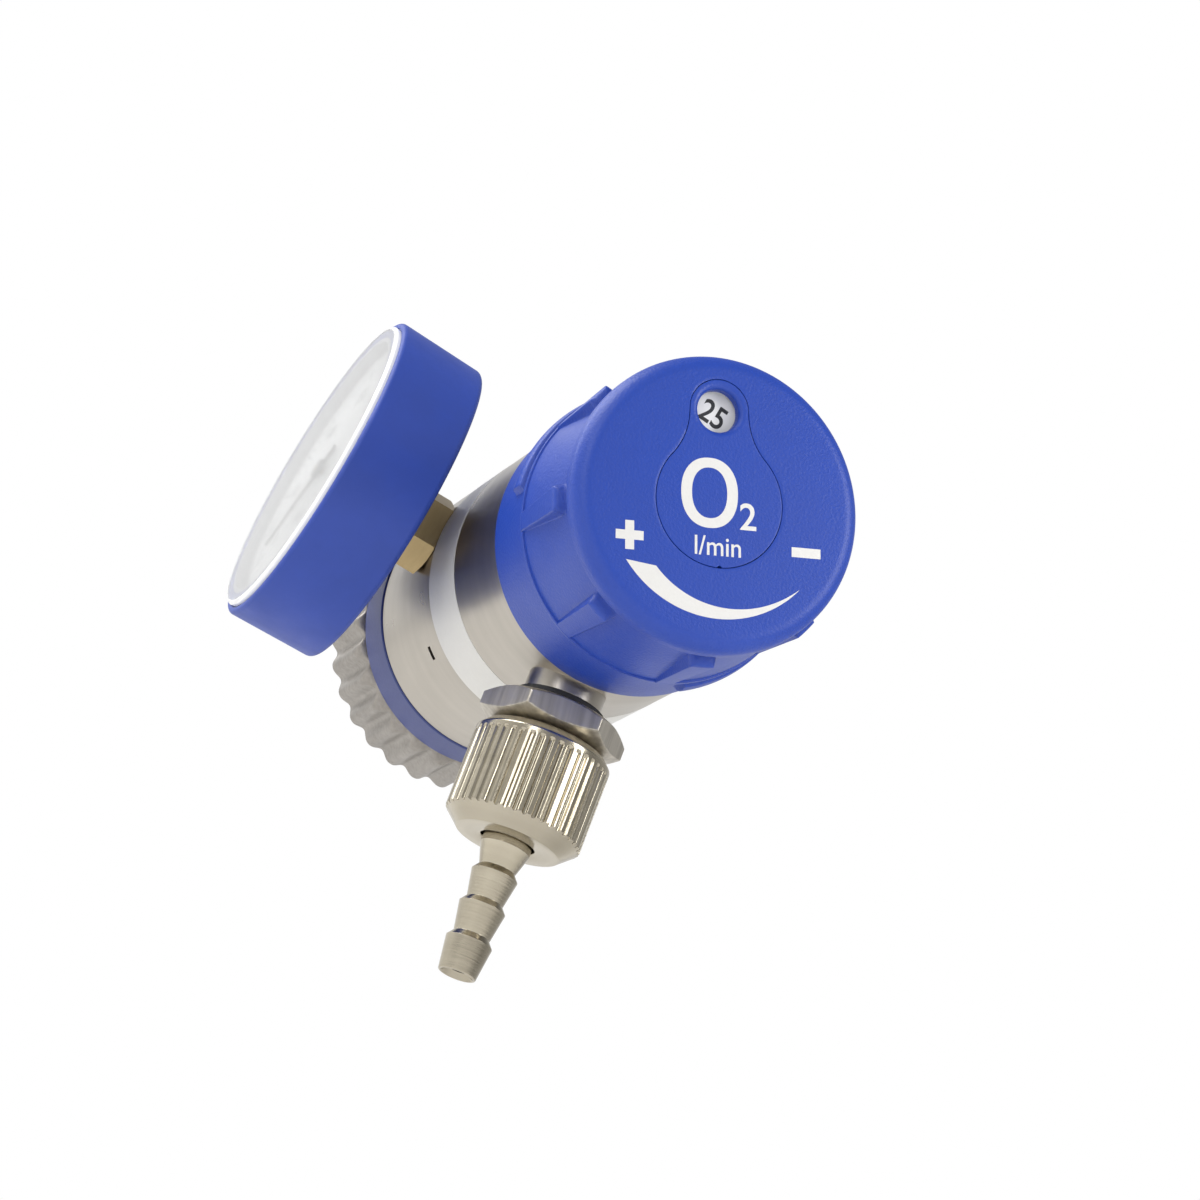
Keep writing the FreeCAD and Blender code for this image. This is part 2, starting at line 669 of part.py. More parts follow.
def make_knob_screw():
    head_front = SCREW_SEAT - KNOB_SCREW_HEAD_DEPTH
    head = turned([(0, head_front), (KNOB_SCREW_HEAD_R, head_front, EDGE_BREAK),
                   (KNOB_SCREW_HEAD_R, SCREW_SEAT), (KNOB_SCREW_R, SCREW_SEAT),
                   (KNOB_SCREW_R, SCREW_SEAT + KNOB_SCREW_SHANK), (0, SCREW_SEAT + KNOB_SCREW_SHANK)])
    slot_depth = KNOB_SCREW_HEAD_DEPTH / 2
    slot = Part.makeBox(KNOB_SCREW_SLOT, slot_depth, 4 * KNOB_SCREW_HEAD_R,
                        Vector(-KNOB_SCREW_SLOT / 2, at(head_front), -2 * KNOB_SCREW_HEAD_R))
    return head.cut(slot)


def make_spindle():
    shoulder = DISC_BACK - FACE_GAP - SPINDLE_TIP_LENGTH
    shaft = turned([(0, SPINDLE_FRONT), (SPINDLE_R, SPINDLE_FRONT, EDGE_BREAK), (SPINDLE_R, shoulder),
                    (SPINDLE_TIP_R, shoulder), (SPINDLE_TIP_R, DISC_BACK - FACE_GAP),
                    (0, DISC_BACK - FACE_GAP)])
    flat_length = HUB_END - SPINDLE_FRONT
    shaft = shaft.cut(flat_cutter(SPINDLE_R - SPINDLE_FLAT_DEPTH, SPINDLE_FRONT - OVERCUT, flat_length))
    shaft = shaft.cut(flat_cutter(SPINDLE_TIP_R - DRIVE_FLAT_DEPTH, shoulder, SPINDLE_TIP_LENGTH + OVERCUT))
    shaft = shaft.cut(rod(KNOB_SCREW_R + FIT_GAP, SPINDLE_FRONT - OVERCUT,
                          SCREW_SEAT + KNOB_SCREW_SHANK + OVERCUT))
    return shaft.cut(seal_groove(SPINDLE_R, SPINDLE_SEAL_SECTION, TOWER_FRONT + SPINDLE_SEAL_SETBACK))


# Orifice disc: the widest hole is over the feed at rest, and setting 0 has none
def make_orifice_disc():
    step = 360.0 / SETTINGS
    bore = rod(SPINDLE_TIP_R + FIT_GAP, DISC_FRONT - OVERCUT, DISC_BACK + OVERCUT)
    drive_x = SPINDLE_TIP_R - DRIVE_FLAT_DEPTH + FIT_GAP
    bore = bore.cut(flat_cutter(drive_x, DISC_FRONT - OVERCUT, DISC_THICK + 2 * OVERCUT))
    cuts = [spin(bore, KNOB_TURN)]
    for setting in range(1, SETTINGS):
        radius = SMALLEST_ORIFICE_R + ORIFICE_STEP_R * (setting - 1)
        hole = along_axis(radius, 0, ORIFICE_RADIUS, DISC_FRONT - OVERCUT, DISC_BACK + OVERCUT)
        cuts.append(spin(hole, KNOB_TURN - step * (SETTINGS - 1 - setting)))
    for i in range(RETURN_HOLES):
        hole = along_axis(RETURN_HOLE_R, 0, BLOCK_WELL_R - RETURN_INSET, DISC_FRONT - OVERCUT,
                          DISC_BACK + OVERCUT)
        cuts.append(spin(hole, step / 2 + 360.0 / RETURN_HOLES * i))
    # The ball runs in a round groove that has a deeper dimple at each setting
    groove = Part.makeTorus(DETENT_RADIUS, BALL_R + RUNNING_GAP, ORIGIN, MAIN_AXIS)
    cuts.append(groove.translated(Vector(0, at(DISC_FRONT - BALL_RISE), 0)))
    for i in range(SETTINGS):
        dimple = Part.makeCone(BALL_R, BALL_R / 3, DETENT_DIMPLE,
                               Vector(0, at(DISC_FRONT), DETENT_RADIUS), MAIN_AXIS)
        cuts.append(spin(dimple, KNOB_TURN + DETENT_ANGLE + step * i))
    return rod(DISC_R, DISC_FRONT, DISC_BACK).cut(Part.makeCompound(cuts))


def make_selector_block():
    block = rod(BLOCK_R, BLOCK_FRONT, BLOCK_BACK)
    block = block.cut(rod(BLOCK_WELL_R, BLOCK_FRONT - OVERCUT, OUTLET_STATION))
    feed = along_axis(BLOCK_FEED_R, 0, ORIFICE_RADIUS, BLOCK_FRONT - OVERCUT, BLOCK_BACK + OVERCUT)
    block = block.cut(spin(feed, KNOB_TURN))
    outlet = Part.makeCylinder(ADAPTER_BORE_R, BLOCK_R + OVERCUT, Vector(0, at(OUTLET_STATION), 0),
                               Vector(0, 0, -1))
    block = block.cut(outlet)
    return block.cut(seal_groove(BLOCK_R, BLOCK_SEAL_SECTION, BLOCK_FRONT + BLOCK_SEAL_SETBACK))


def bonnet_holes(radius, front, back):
    hole = along_axis(radius, 0, SCREW_CIRCLE_R, front, back)
    return [spin(hole, 360.0 / BONNET_SCREWS * (i + 0.5)) for i in range(BONNET_SCREWS)]


def make_bonnet():
    bore_r = SPINDLE_R + RUNNING_GAP
    pocket_r = DISC_R + DISC_POCKET_GAP
    bonnet = turned([(bore_r, TOWER_FRONT), (TOWER_R, TOWER_FRONT, EDGE_BREAK), (TOWER_R, BONNET_FRONT),
                     (BONNET_R, BONNET_FRONT, EDGE_BREAK), (BONNET_R, BODY_FRONT), (BLOCK_R, BODY_FRONT),
                     (BLOCK_R, DISC_BACK), (pocket_r, DISC_BACK), (pocket_r, PLUG_BACK),
                     (bore_r, PLUG_BACK)])
    ball_hole = along_axis(BALL_R + FIT_GAP, 0, DETENT_RADIUS, PLUG_BACK - BALL_HOLE_DEPTH,
                           PLUG_BACK + OVERCUT)
    bonnet = bonnet.cut(spin(ball_hole, KNOB_TURN + DETENT_ANGLE))
    holes = bonnet_holes(BONNET_SCREW_R + FIT_GAP, BONNET_FRONT - OVERCUT, BODY_FRONT + OVERCUT)
    return bonnet.cut(Part.makeCompound(holes))


def make_bonnet_screws():
    head_front = BONNET_FRONT - BONNET_SCREW_HEAD
    screws = []
    for head, shank, socket in zip(
            bonnet_holes(BONNET_SCREW_HEAD_R, head_front, BONNET_FRONT),
            bonnet_holes(BONNET_SCREW_R, BONNET_FRONT, BONNET_FRONT + BONNET_SCREW_LENGTH),
            bonnet_holes(BONNET_SCREW_SOCKET_R, head_front, head_front + BONNET_SCREW_SOCKET)):
        screws.append(fuse_all([head, shank]).cut(socket))
    return Part.makeCompound(screws)


def make_detent_ball():
    ball = Part.makeSphere(BALL_R, Vector(0, at(DISC_FRONT - BALL_RISE), DETENT_RADIUS))
    return spin(ball, KNOB_TURN + DETENT_ANGLE)


def make_detent_spring():
    wire = Part.Circle(Vector(DETENT_COIL_R, 0, 0), Vector(0, 1, 0), DETENT_WIRE_R)
    front = PLUG_BACK - BALL_HOLE_DEPTH + FIT_GAP
    back = DISC_FRONT - BALL_RISE - BALL_R
    spring = coil(DETENT_COIL_R, Part.Wire([wire.toShape()]), DETENT_WIRE_R, front, back, 4)
    return spin(spring.translated(Vector(0, 0, DETENT_RADIUS)), KNOB_TURN + DETENT_ANGLE)


def make_flow_dial():
    return tube(SLEEVE_R, HUB_R + DIAL_HOLE_GAP, DIAL_FRONT, DIAL_BACK)


# Collar: a sleeve that carries the number disc, a ring behind the knob and two raised arcs
def make_collar():
    seat_r = SPIGOT_R + FIT_GAP
    web_back = COLLAR_FRONT + COLLAR_WEB
    collar = turned([(SLEEVE_BORE_R, DIAL_BACK), (SLEEVE_R, DIAL_BACK), (SLEEVE_R, COLLAR_FRONT),
                     (COLLAR_R, COLLAR_FRONT, EDGE_BREAK), (COLLAR_R, COLLAR_END, EDGE_BREAK),
                     (seat_r, COLLAR_END), (seat_r, web_back), (SLEEVE_BORE_R, web_back)])
    front = COLLAR_FRONT + LOBE_SETBACK
    back = front + LOBE_WIDTH
    low = COLLAR_R - LOBE_RISE / 2
    high = COLLAR_R + LOBE_RISE
    crown = (high, (front + back) / 2, LOBE_WIDTH)
    band = turned([(low, front), (high - EDGE_BREAK, front, EDGE_BREAK / 2), crown,
                   (high - EDGE_BREAK, back, EDGE_BREAK / 2), (low, back)])
    half = math.radians(LOBE_SPAN / 2)
    reach = 2 * COLLAR_R
    side_x = reach * math.sin(half)
    side_z = reach * math.cos(half)
    wedge = outline([(0, 0), (-side_x, side_z), (0, reach), (side_x, side_z)],
                    lambda x, z: Vector(x, at(front - OVERCUT), z))
    wedge = Part.Face(wedge).extrude(Vector(0, LOBE_WIDTH + 2 * OVERCUT, 0))
    lobes = [spin(wedge.common(band), middle) for middle in LOBE_MIDDLES]
    return fuse_all([collar] + lobes)


# Body: chamber, guide and stem bore on the axis, an outlet boss, a gauge port and a vent
def make_body():
    seat_r = BODY_R - LABEL_SEAT
    body = turned([(BLOCK_BORE_R, BODY_FRONT), (SPIGOT_R, BODY_FRONT), (SPIGOT_R, COLLAR_END),
                   (BODY_R, COLLAR_END, EDGE_BREAK), (BODY_R, LABEL_FRONT), (seat_r, LABEL_FRONT),
                   (seat_r, LABEL_BACK), (BODY_R, LABEL_BACK), (BODY_R, RING_FRONT, EDGE_BREAK),
                   (RING_SEAT_R, RING_FRONT), (RING_SEAT_R, RING_BACK), (STEM_BORE_R, RING_BACK),
                   (STEM_BORE_R, GUIDE_END), (GUIDE_R, GUIDE_END), (GUIDE_R, CHAMBER_END),
                   (CHAMBER_R, CHAMBER_END), (CHAMBER_R, BLOCK_BACK), (BLOCK_BORE_R, BLOCK_BACK)])
    boss_root = (SPIGOT_R + BLOCK_BORE_R) / 2
    boss = down([(0, boss_root), (BOSS_R, boss_root), (BOSS_R, BOSS_END, EDGE_BREAK), (0, BOSS_END)])
    boss = boss.cut(tube(2 * BODY_R, 0, BODY_FRONT - BOSS_R, COLLAR_END))
    boss = boss.cut(rod(BLOCK_BORE_R, BODY_FRONT - BOSS_R, BLOCK_BACK + BOSS_R))
    body = fuse_all([body, boss])
    spigot_r = ADAPTER_SPIGOT_R + FIT_GAP
    body = body.cut(down([(0, CHAMBER_R / 2), (spigot_r, CHAMBER_R / 2), (spigot_r, BOSS_END + OVERCUT),
                          (0, BOSS_END + OVERCUT)]))
    thread = Part.makeCylinder(GAUGE_THREAD_R, BODY_R, Vector(0, 0, GAUGE_THREAD_END))
    spot = Part.makeCylinder(SOCKET_ACROSS / math.sqrt(3) + EDGE_BREAK, OVERCUT + GAUGE_SPOT_DEPTH,
                             Vector(0, 0, GAUGE_SPOT))
    body = body.cut(to_gauge(thread)).cut(to_gauge(spot))
    gas_line = GAUGE_DIRECTION * (BODY_R - GAS_LINE_INSET)
    body = body.cut(along_axis(GAS_DRILL_R, gas_line.x, gas_line.z, GAUGE_STATION,
                               GALLERY_MIDDLE + GAS_DRILL_R))
    cross = Part.makeCylinder(GAS_DRILL_R, gas_line.Length - STEM_R + OVERCUT + GAS_DRILL_R,
                              Vector(0, at(GALLERY_MIDDLE), 0) + GAUGE_DIRECTION * (STEM_R - OVERCUT),
                              GAUGE_DIRECTION)
    body = body.cut(cross)
    vent = Part.makeBox(VENT_LENGTH, VENT_WIDTH, BODY_R - CHAMBER_R + 2 * OVERCUT,
                        Vector(-VENT_LENGTH / 2, at(VENT_STATION) - VENT_WIDTH / 2, CHAMBER_R - OVERCUT))
    body = body.cut(spin(vent, VENT_TURN))
    holes = bonnet_holes(BONNET_SCREW_R + FIT_GAP, BODY_FRONT - OVERCUT,
                         BONNET_FRONT + BONNET_SCREW_LENGTH + OVERCUT)
    return body.cut(Part.makeCompound(holes))


def make_label_band():
    inner_r = BODY_R - LABEL_SEAT + FIT_GAP / 2
    return tube(inner_r + LABEL_THICK, inner_r, LABEL_FRONT + FIT_GAP, LABEL_BACK - FIT_GAP)


def make_rear_ring():
    inner_r = RING_SEAT_R + FIT_GAP
    front = RING_FRONT + FIT_GAP
    return turned([(inner_r, front), (RING_R, front, EDGE_BREAK), (RING_R, RING_BACK, EDGE_BREAK),
                   (inner_r, RING_BACK)])


def make_piston():
    head_r = CHAMBER_R - RUNNING_GAP
    tail_r = GUIDE_R - RUNNING_GAP
    spring_r = SPRING_MEAN_R + SPRING_WIRE / 2 + OVERCUT
    pocket_r = SEAT_R + FIT_GAP
    piston = turned([(PISTON_BORE_R, HEAD_FRONT), (head_r, HEAD_FRONT, EDGE_BREAK), (head_r, HEAD_BACK),
                     (spring_r, HEAD_BACK), (spring_r, HEAD_BACK - SPRING_SEAT),
                     (tail_r, HEAD_BACK - SPRING_SEAT), (tail_r, PISTON_END, EDGE_BREAK),
                     (pocket_r, PISTON_END), (pocket_r, PISTON_END - SEAT_THICK),
                     (PISTON_BORE_R, PISTON_END - SEAT_THICK)])
    piston = piston.cut(seal_groove(head_r, HEAD_SEAL_SECTION, HEAD_SEAL))
    piston = piston.cut(seal_groove(tail_r, TAIL_SEAL_SECTION, TAIL_SEAL))
    cross_station = PISTON_END - SEAT_THICK - PISTON_CROSS_R
    cross = Part.makeCylinder(PISTON_CROSS_R, 4 * GUIDE_R, Vector(-2 * GUIDE_R, at(cross_station), 0),
                              Vector(1, 0, 0))
    return piston.cut(cross)


def make_piston_spring():
    """Die spring of square wire between the piston's head and the chamber's end."""
    half = SPRING_WIRE / 2
    section = outline([(-half, -half), (half, -half), (half, half), (-half, half)],
                      lambda across, along: Vector(SPRING_MEAN_R + across, 0, along))
    return coil(SPRING_MEAN_R, section, half, HEAD_BACK - SPRING_SEAT, CHAMBER_END, SPRING_TURNS)


def make_inlet_stem():
    nozzle_base = NOZZLE_TIP + NOZZLE_LENGTH
    gallery_r = STEM_R - GALLERY_DEPTH
    gallery_back = GALLERY_FRONT + GALLERY_WIDTH
    filter_r = FILTER_R + FACE_GAP
    seal_r = INLET_SEAL_R + FACE_GAP
    seal_seat = STEM_FLANGE_BACK - INLET_SEAL_SINK
    stem = turned([(NOZZLE_BORE_R, NOZZLE_TIP), (NOZZLE_TIP_R, NOZZLE_TIP), (NOZZLE_BASE_R, nozzle_base),
                   (STEM_NOSE_R, nozzle_base), (STEM_NOSE_R, STEM_SHOULDER), (STEM_R, STEM_SHOULDER),
                   (STEM_R, GALLERY_FRONT), (gallery_r, GALLERY_FRONT), (gallery_r, gallery_back),
                   (STEM_R, gallery_back), (STEM_R, STEM_FLANGE_FRONT), (STEM_FLANGE_R, STEM_FLANGE_FRONT),
                   (STEM_FLANGE_R, STEM_FLANGE_BACK, EDGE_BREAK), (seal_r, STEM_FLANGE_BACK),
                   (seal_r, seal_seat), (filter_r, seal_seat), (filter_r, FILTER_FRONT - OVERCUT),
                   (NOZZLE_BORE_R, NOZZLE_TIP + NOZZLE_BORE)])
    return stem.cut(Part.makeCylinder(NOZZLE_BORE_R, 4 * STEM_R,
                                      Vector(-2 * STEM_R, at(GALLERY_MIDDLE), 0), Vector(1, 0, 0)))


# Hand wheel: cast lobes with a rounded shoulder, a wall that runs on the stem and the inlet thread
def make_handwheel():
    lobed = lay_back(lobed_prism(WHEEL_LOBES, WHEEL_TIP_R, WHEEL_VALLEY_R, WHEEL_LENGTH + 2 * OVERCUT))
    lobed = lobed.translated(Vector(0, at(WHEEL_FRONT - OVERCUT), 0))
    bore_r = STEM_R + RUNNING_GAP
    relief_r = INLET_THREAD_R + THREAD_RELIEF
    envelope = turned([(bore_r, WHEEL_FRONT), (WHEEL_TIP_R, WHEEL_FRONT, WHEEL_SHOULDER),
                       (WHEEL_TIP_R, WHEEL_MOUTH, WHEEL_MOUTH_ROUND), (INLET_THREAD_R, WHEEL_MOUTH),
                       (INLET_THREAD_R, THREAD_START), (relief_r, THREAD_START - THREAD_RELIEF),
                       (relief_r, WHEEL_WALL_BACK), (bore_r, WHEEL_WALL_BACK)])
    return lobed.common(envelope)


# Adapter: hexagon with coned corners, a spigot up into the boss and the outlet thread below
def make_adapter():
    prism = hexagon(HEX_ACROSS, HEX_TURN, -HEX_END).extrude(Vector(0, 0, HEX_HEIGHT))
    prism = prism.translated(Vector(0, at(OUTLET_STATION), 0))
    corner_r = HEX_ACROSS / math.sqrt(3) + FACE_GAP
    slope = (corner_r - HEX_TOP_R) / HEX_TOP_BEVEL
    top_r = HEX_TOP_R
    envelope = down([(0, HEX_TOP), (top_r, HEX_TOP), (top_r + slope * HEX_TOP_BEVEL, HEX_TOP + HEX_TOP_BEVEL),
                     (corner_r, HEX_TOP + HEX_FLAT_HEIGHT), (HEX_FOOT_R, HEX_END), (0, HEX_END)])
    middle = prism.common(envelope)
    spigot_top = BLOCK_BORE_R + FIT_GAP
    spigot = down([(0, spigot_top), (ADAPTER_SPIGOT_R, spigot_top, EDGE_BREAK),
                   (ADAPTER_SPIGOT_R, HEX_TOP + EDGE_BREAK), (0, HEX_TOP + EDGE_BREAK)])
    spigot = spigot.cut(rod(BLOCK_BORE_R + FIT_GAP, BODY_FRONT, BLOCK_BACK + BOSS_R))
    thread = down([(0, HEX_END - EDGE_BREAK), (OUTLET_THREAD_R, HEX_END - EDGE_BREAK),
                   (OUTLET_THREAD_R, THREAD_END, EDGE_BREAK), (0, THREAD_END)])
    adapter = fuse_all([middle, spigot, thread])
    adapter = adapter.cut(down([(0, 0), (ADAPTER_BORE_R, 0), (ADAPTER_BORE_R, TAIL_TOP), (0, TAIL_TOP)]))
    seal_r = OUTLET_SEAL_MEAN_R + OUTLET_SEAL_SECTION + FACE_GAP
    seal_top = OUTLET_SEAL_DEPTH - OUTLET_SEAL_SECTION - FACE_GAP
    return adapter.cut(down([(0, seal_top), (seal_r, seal_top), (seal_r, TAIL_TOP), (0, TAIL_TOP)]))


def make_gasket():
    inner_r = ADAPTER_SPIGOT_R + FIT_GAP
    outer_r = BOSS_R - GASKET_INSET
    return down([(inner_r, BOSS_END), (outer_r, BOSS_END), (outer_r, HEX_TOP), (inner_r, HEX_TOP)])


# Union nut: flutes between a plain top ring and a plain foot, a floor that holds the tail's head
def make_union_nut():
    fluted = fluted_prism(NUT_FLUTES, NUT_R, NUT_FLUTE_DEPTH, NUT_LENGTH)
    fluted = fluted.translated(Vector(0, at(OUTLET_STATION), -NUT_END))
    plain = down([(0, NUT_TOP), (NUT_R, NUT_TOP), (NUT_R, NUT_TOP + NUT_PLAIN), (0, NUT_TOP + NUT_PLAIN)])
    bore_r = OUTLET_THREAD_R + FIT_GAP
    envelope = down([(bore_r, NUT_TOP), (NUT_R - NUT_TOP_BEVEL, NUT_TOP), (NUT_R, NUT_TOP + NUT_TOP_BEVEL),
                     (NUT_R, NUT_END - NUT_FOOT_BEVEL), (NUT_FOOT_R, NUT_END), (NUT_HOLE_R, NUT_END),
                     (NUT_HOLE_R, NUT_FLOOR), (bore_r, NUT_FLOOR)])
    return fuse_all([fluted, plain]).common(envelope)


# Hose tail: a head under the nut, a shank and three barbs
def make_hose_tail():
    shank_end = NUT_END + TAIL_SHANK_BELOW_NUT
    profile = [(TAIL_BORE_R, TAIL_TOP), (TAIL_HEAD_R, TAIL_TOP, EDGE_BREAK), (TAIL_HEAD_R, TAIL_HEAD_END),
               (TAIL_SHANK_R, TAIL_HEAD_END), (TAIL_SHANK_R, shank_end)]
    for edge in BARB_EDGES:
        profile.append((BARB_WAIST_R, edge - BARB_BACK))
        profile.append((BARB_R, edge))
    profile += [(TIP_R, TIP_END, TIP_ROUND), (TIP_MOUTH_R, TIP_END), (TAIL_BORE_R, TIP_END - TIP_BEVEL)]
    return down(profile)


def make_outlet_seal():
    return Part.makeTorus(OUTLET_SEAL_MEAN_R, OUTLET_SEAL_SECTION,
                          Vector(0, at(OUTLET_STATION), -OUTLET_SEAL_DEPTH), Vector(0, 0, 1))


# Gauge socket: a thread into the body, a hexagon, a neck through the case and the tube's post
def make_gauge_socket():
    hex_low = GAUGE_SPOT + FIT_GAP
    hex_high = hex_low + SOCKET_HEX
    prism = to_gauge(hexagon(SOCKET_ACROSS, 0, hex_low).extrude(Vector(0, 0, SOCKET_HEX)))
    corner_r = SOCKET_ACROSS / math.sqrt(3) + FACE_GAP
    flat_r = SOCKET_ACROSS / 2
    prism = prism.common(outward([(0, hex_low), (flat_r, hex_low), (corner_r, hex_low + EDGE_BREAK),
                                  (corner_r, hex_high - EDGE_BREAK), (flat_r, hex_high), (0, hex_high)]))
    thread_r = GAUGE_THREAD_R - FIT_GAP
    thread_low = GAUGE_THREAD_END + FACE_GAP
    shaft = outward([(0, thread_low), (thread_r, thread_low, EDGE_BREAK), (thread_r, hex_high),
                     (SOCKET_NECK_R, hex_high), (SOCKET_NECK_R, SOCKET_SHOULDER),
                     (SOCKET_SHOULDER_R, SOCKET_SHOULDER), (SOCKET_SHOULDER_R, SOCKET_TOP),
                     (0, SOCKET_TOP)])
    post_size = BOURDON_THICK + 2 * OVERCUT
    arm = Part.makeBox(BOURDON_R + post_size / 2, SOCKET_ARM_WIDTH, SOCKET_ARM_HEIGHT,
                       Vector(0, -SOCKET_ARM_WIDTH / 2 - OVERCUT, SOCKET_SHOULDER))
    post = Part.makeBox(post_size, post_size, MESH_LEVEL - SOCKET_SHOULDER + BOURDON_WIDTH / 2,
                        Vector(BOURDON_R - post_size / 2, -post_size, SOCKET_SHOULDER))
    socket = fuse_all([prism, shaft, to_gauge(arm), to_gauge(post)])
    bore = Part.makeCylinder(SOCKET_BORE_R, SOCKET_SHOULDER + SOCKET_ARM_HEIGHT / 2 - thread_low + OVERCUT,
                             Vector(0, 0, thread_low - OVERCUT))
    return socket.cut(to_gauge(bore))


def make_gauge_case():
    hole_r = SOCKET_NECK_R + FACE_GAP
    rim = LENS_BACK - FACE_GAP
    return outward([(hole_r, CASE_BACK), (CASE_R, CASE_BACK), (CASE_R, rim), (CASE_BORE_R, rim),
                    (CASE_BORE_R, CASE_BACK + CASE_FLOOR), (hole_r, CASE_BACK + CASE_FLOOR)])


def make_gauge_boot():
    inner_r = CASE_R + FIT_GAP
    lens_r = LENS_R + FACE_GAP
    lip = GAUGE_FRONT - 2 * LENS_BEVEL
    return outward([(BOOT_HOLE_R, GAUGE_BACK), (BOOT_R - BOOT_DRAFT, GAUGE_BACK, BOOT_BACK_ROUND),
                    (BOOT_R, lip, BOOT_LIP_ROUND), (lens_r, lip), (lens_r, LENS_BACK - FIT_GAP),
                    (inner_r, LENS_BACK - FIT_GAP), (inner_r, CASE_BACK - FIT_GAP),
                    (BOOT_HOLE_R, CASE_BACK - FIT_GAP)])


def make_gauge_lens():
    return outward([(0, LENS_BACK), (LENS_R, LENS_BACK), (LENS_R, GAUGE_FRONT - LENS_BEVEL),
                    (LENS_R - LENS_BEVEL, GAUGE_FRONT), (0, GAUGE_FRONT)])


def make_gauge_dial():
    outer_r = CASE_BORE_R - GAUGE_DIAL_EDGE
    return outward([(GAUGE_DIAL_HOLE_R, GAUGE_DIAL_BACK), (outer_r, GAUGE_DIAL_BACK),
                    (outer_r, GAUGE_DIAL_TOP), (GAUGE_DIAL_HOLE_R, GAUGE_DIAL_TOP)])


def tooth_ring(count, whole, root_r, tip_r, root_share, tip_share, first, low, high):
    """Teeth of a wheel or sector: 'whole' would fill the circle, 'count' are made from 'first' on."""
    pitch = 2 * math.pi / whole
    sunk_r = root_r - MODULE
    teeth = []
    for i in range(count):
        middle = first + i * pitch
        corners = []
        for radius, share, side in ((sunk_r, root_share, -1), (tip_r, tip_share, -1),
                                    (tip_r, tip_share, 1), (sunk_r, root_share, 1)):
            angle = middle + side * share * pitch / 2
            corners.append((radius * math.cos(angle), radius * math.sin(angle)))
        face = Part.Face(outline(corners, lambda x, y: Vector(x, y, low)))
        teeth.append(face.extrude(Vector(0, 0, high - low)))
    return teeth


def arbor(radius, low, high):
    return Part.makeCylinder(radius, high - low, Vector(0, 0, low))


def make_movement_frame():
    far_y = SECTOR_PIVOT - MOVEMENT_REACH
    plates = []
    for low in (SOCKET_TOP, UPPER_PLATE_LOW):
        bar = Part.makeBox(MOVEMENT_WIDTH, MOVEMENT_HEAD_R - far_y, MOVEMENT_PLATE,
                           Vector(-MOVEMENT_WIDTH / 2, far_y, low))
        plates.append(bar.fuse(arbor(MOVEMENT_HEAD_R, low, low + MOVEMENT_PLATE)))
    pillar_x = MOVEMENT_WIDTH / 2 - PILLAR_R
    pillars = []
    for x in (-pillar_x, pillar_x):
        for y in (far_y + PILLAR_R, MOVEMENT_HEAD_R - PILLAR_R):
            pillar = arbor(PILLAR_R, LOWER_PLATE_TOP - MOVEMENT_PLATE / 2, GAUGE_DIAL_BACK)
            pillars.append(pillar.translated(Vector(x, y, 0)))
    frame = fuse_all(plates + pillars)
    frame = frame.cut(arbor(PINION_ARBOR_R + RUNNING_GAP, SOCKET_TOP - OVERCUT, GAUGE_DIAL_BACK))
    sector_hole = arbor(SECTOR_ARBOR_R + RUNNING_GAP, SOCKET_TOP - OVERCUT, GAUGE_DIAL_BACK)
    return to_gauge(frame.cut(sector_hole.translated(Vector(0, SECTOR_PIVOT, 0))))


def make_pinion():
    pitch_r = PINION_TEETH * MODULE / 2
    root_r = pitch_r - 1.28 * MODULE
    low = MESH_LEVEL - PINION_THICK / 2
    high = MESH_LEVEL + PINION_THICK / 2
    teeth = tooth_ring(PINION_TEETH, PINION_TEETH, root_r, pitch_r + 0.8 * MODULE, 0.42, 0.16,
                       -math.pi / 2, low, high)
    shaft = arbor(PINION_ARBOR_R, LOWER_PLATE_TOP - MOVEMENT_PLATE / 2, POINTER_HIGH + POINTER_RISE)
    return to_gauge(fuse_all([arbor(root_r, low, high), shaft] + teeth))


def make_sector():
    pitch = 2 * math.pi / SECTOR_CIRCLE_TEETH
    pitch_r = SECTOR_CIRCLE_TEETH * MODULE / 2
    root_r = pitch_r - 1.2 * MODULE
    low = MESH_LEVEL - SECTOR_THICK / 2
    high = MESH_LEVEL + SECTOR_THICK / 2
    first = math.pi / 2 + pitch / 2 - (SECTOR_TEETH - 1 - SECTOR_TEETH_PAST_MESH) * pitch
    last = first + (SECTOR_TEETH - 1) * pitch
    teeth = tooth_ring(SECTOR_TEETH, SECTOR_CIRCLE_TEETH, root_r, pitch_r + 0.8 * MODULE, 0.42, 0.24,
                       first, low, high)

    def point(radius, angle):
        return Vector(radius * math.cos(angle), radius * math.sin(angle), low)

    start = point(root_r, first - pitch / 2)
    end = point(root_r, last + pitch / 2)
    middle = (first + last) / 2
    foot = (point(SECTOR_HUB_R, middle + math.pi / 2), point(SECTOR_HUB_R, middle - math.pi / 2))
    rim = Part.Arc(start, point(root_r, middle), end).toShape()
    web = Part.Face(Part.Wire([rim, Part.makeLine(end, foot[0]), Part.makeLine(*foot),
                               Part.makeLine(foot[1], start)])).extrude(Vector(0, 0, high - low))
    shaft = arbor(SECTOR_ARBOR_R, LOWER_PLATE_TOP - MOVEMENT_PLATE / 2, UPPER_PLATE_TOP)
    tail = Part.makeBox(SECTOR_HUB_R, SECTOR_TAIL, high - low, Vector(-SECTOR_HUB_R / 2, -SECTOR_TAIL, low))
    sector = fuse_all([web, arbor(SECTOR_HUB_R, low, high), shaft, tail] + teeth)
    return to_gauge(sector.translated(Vector(0, SECTOR_PIVOT, 0)))


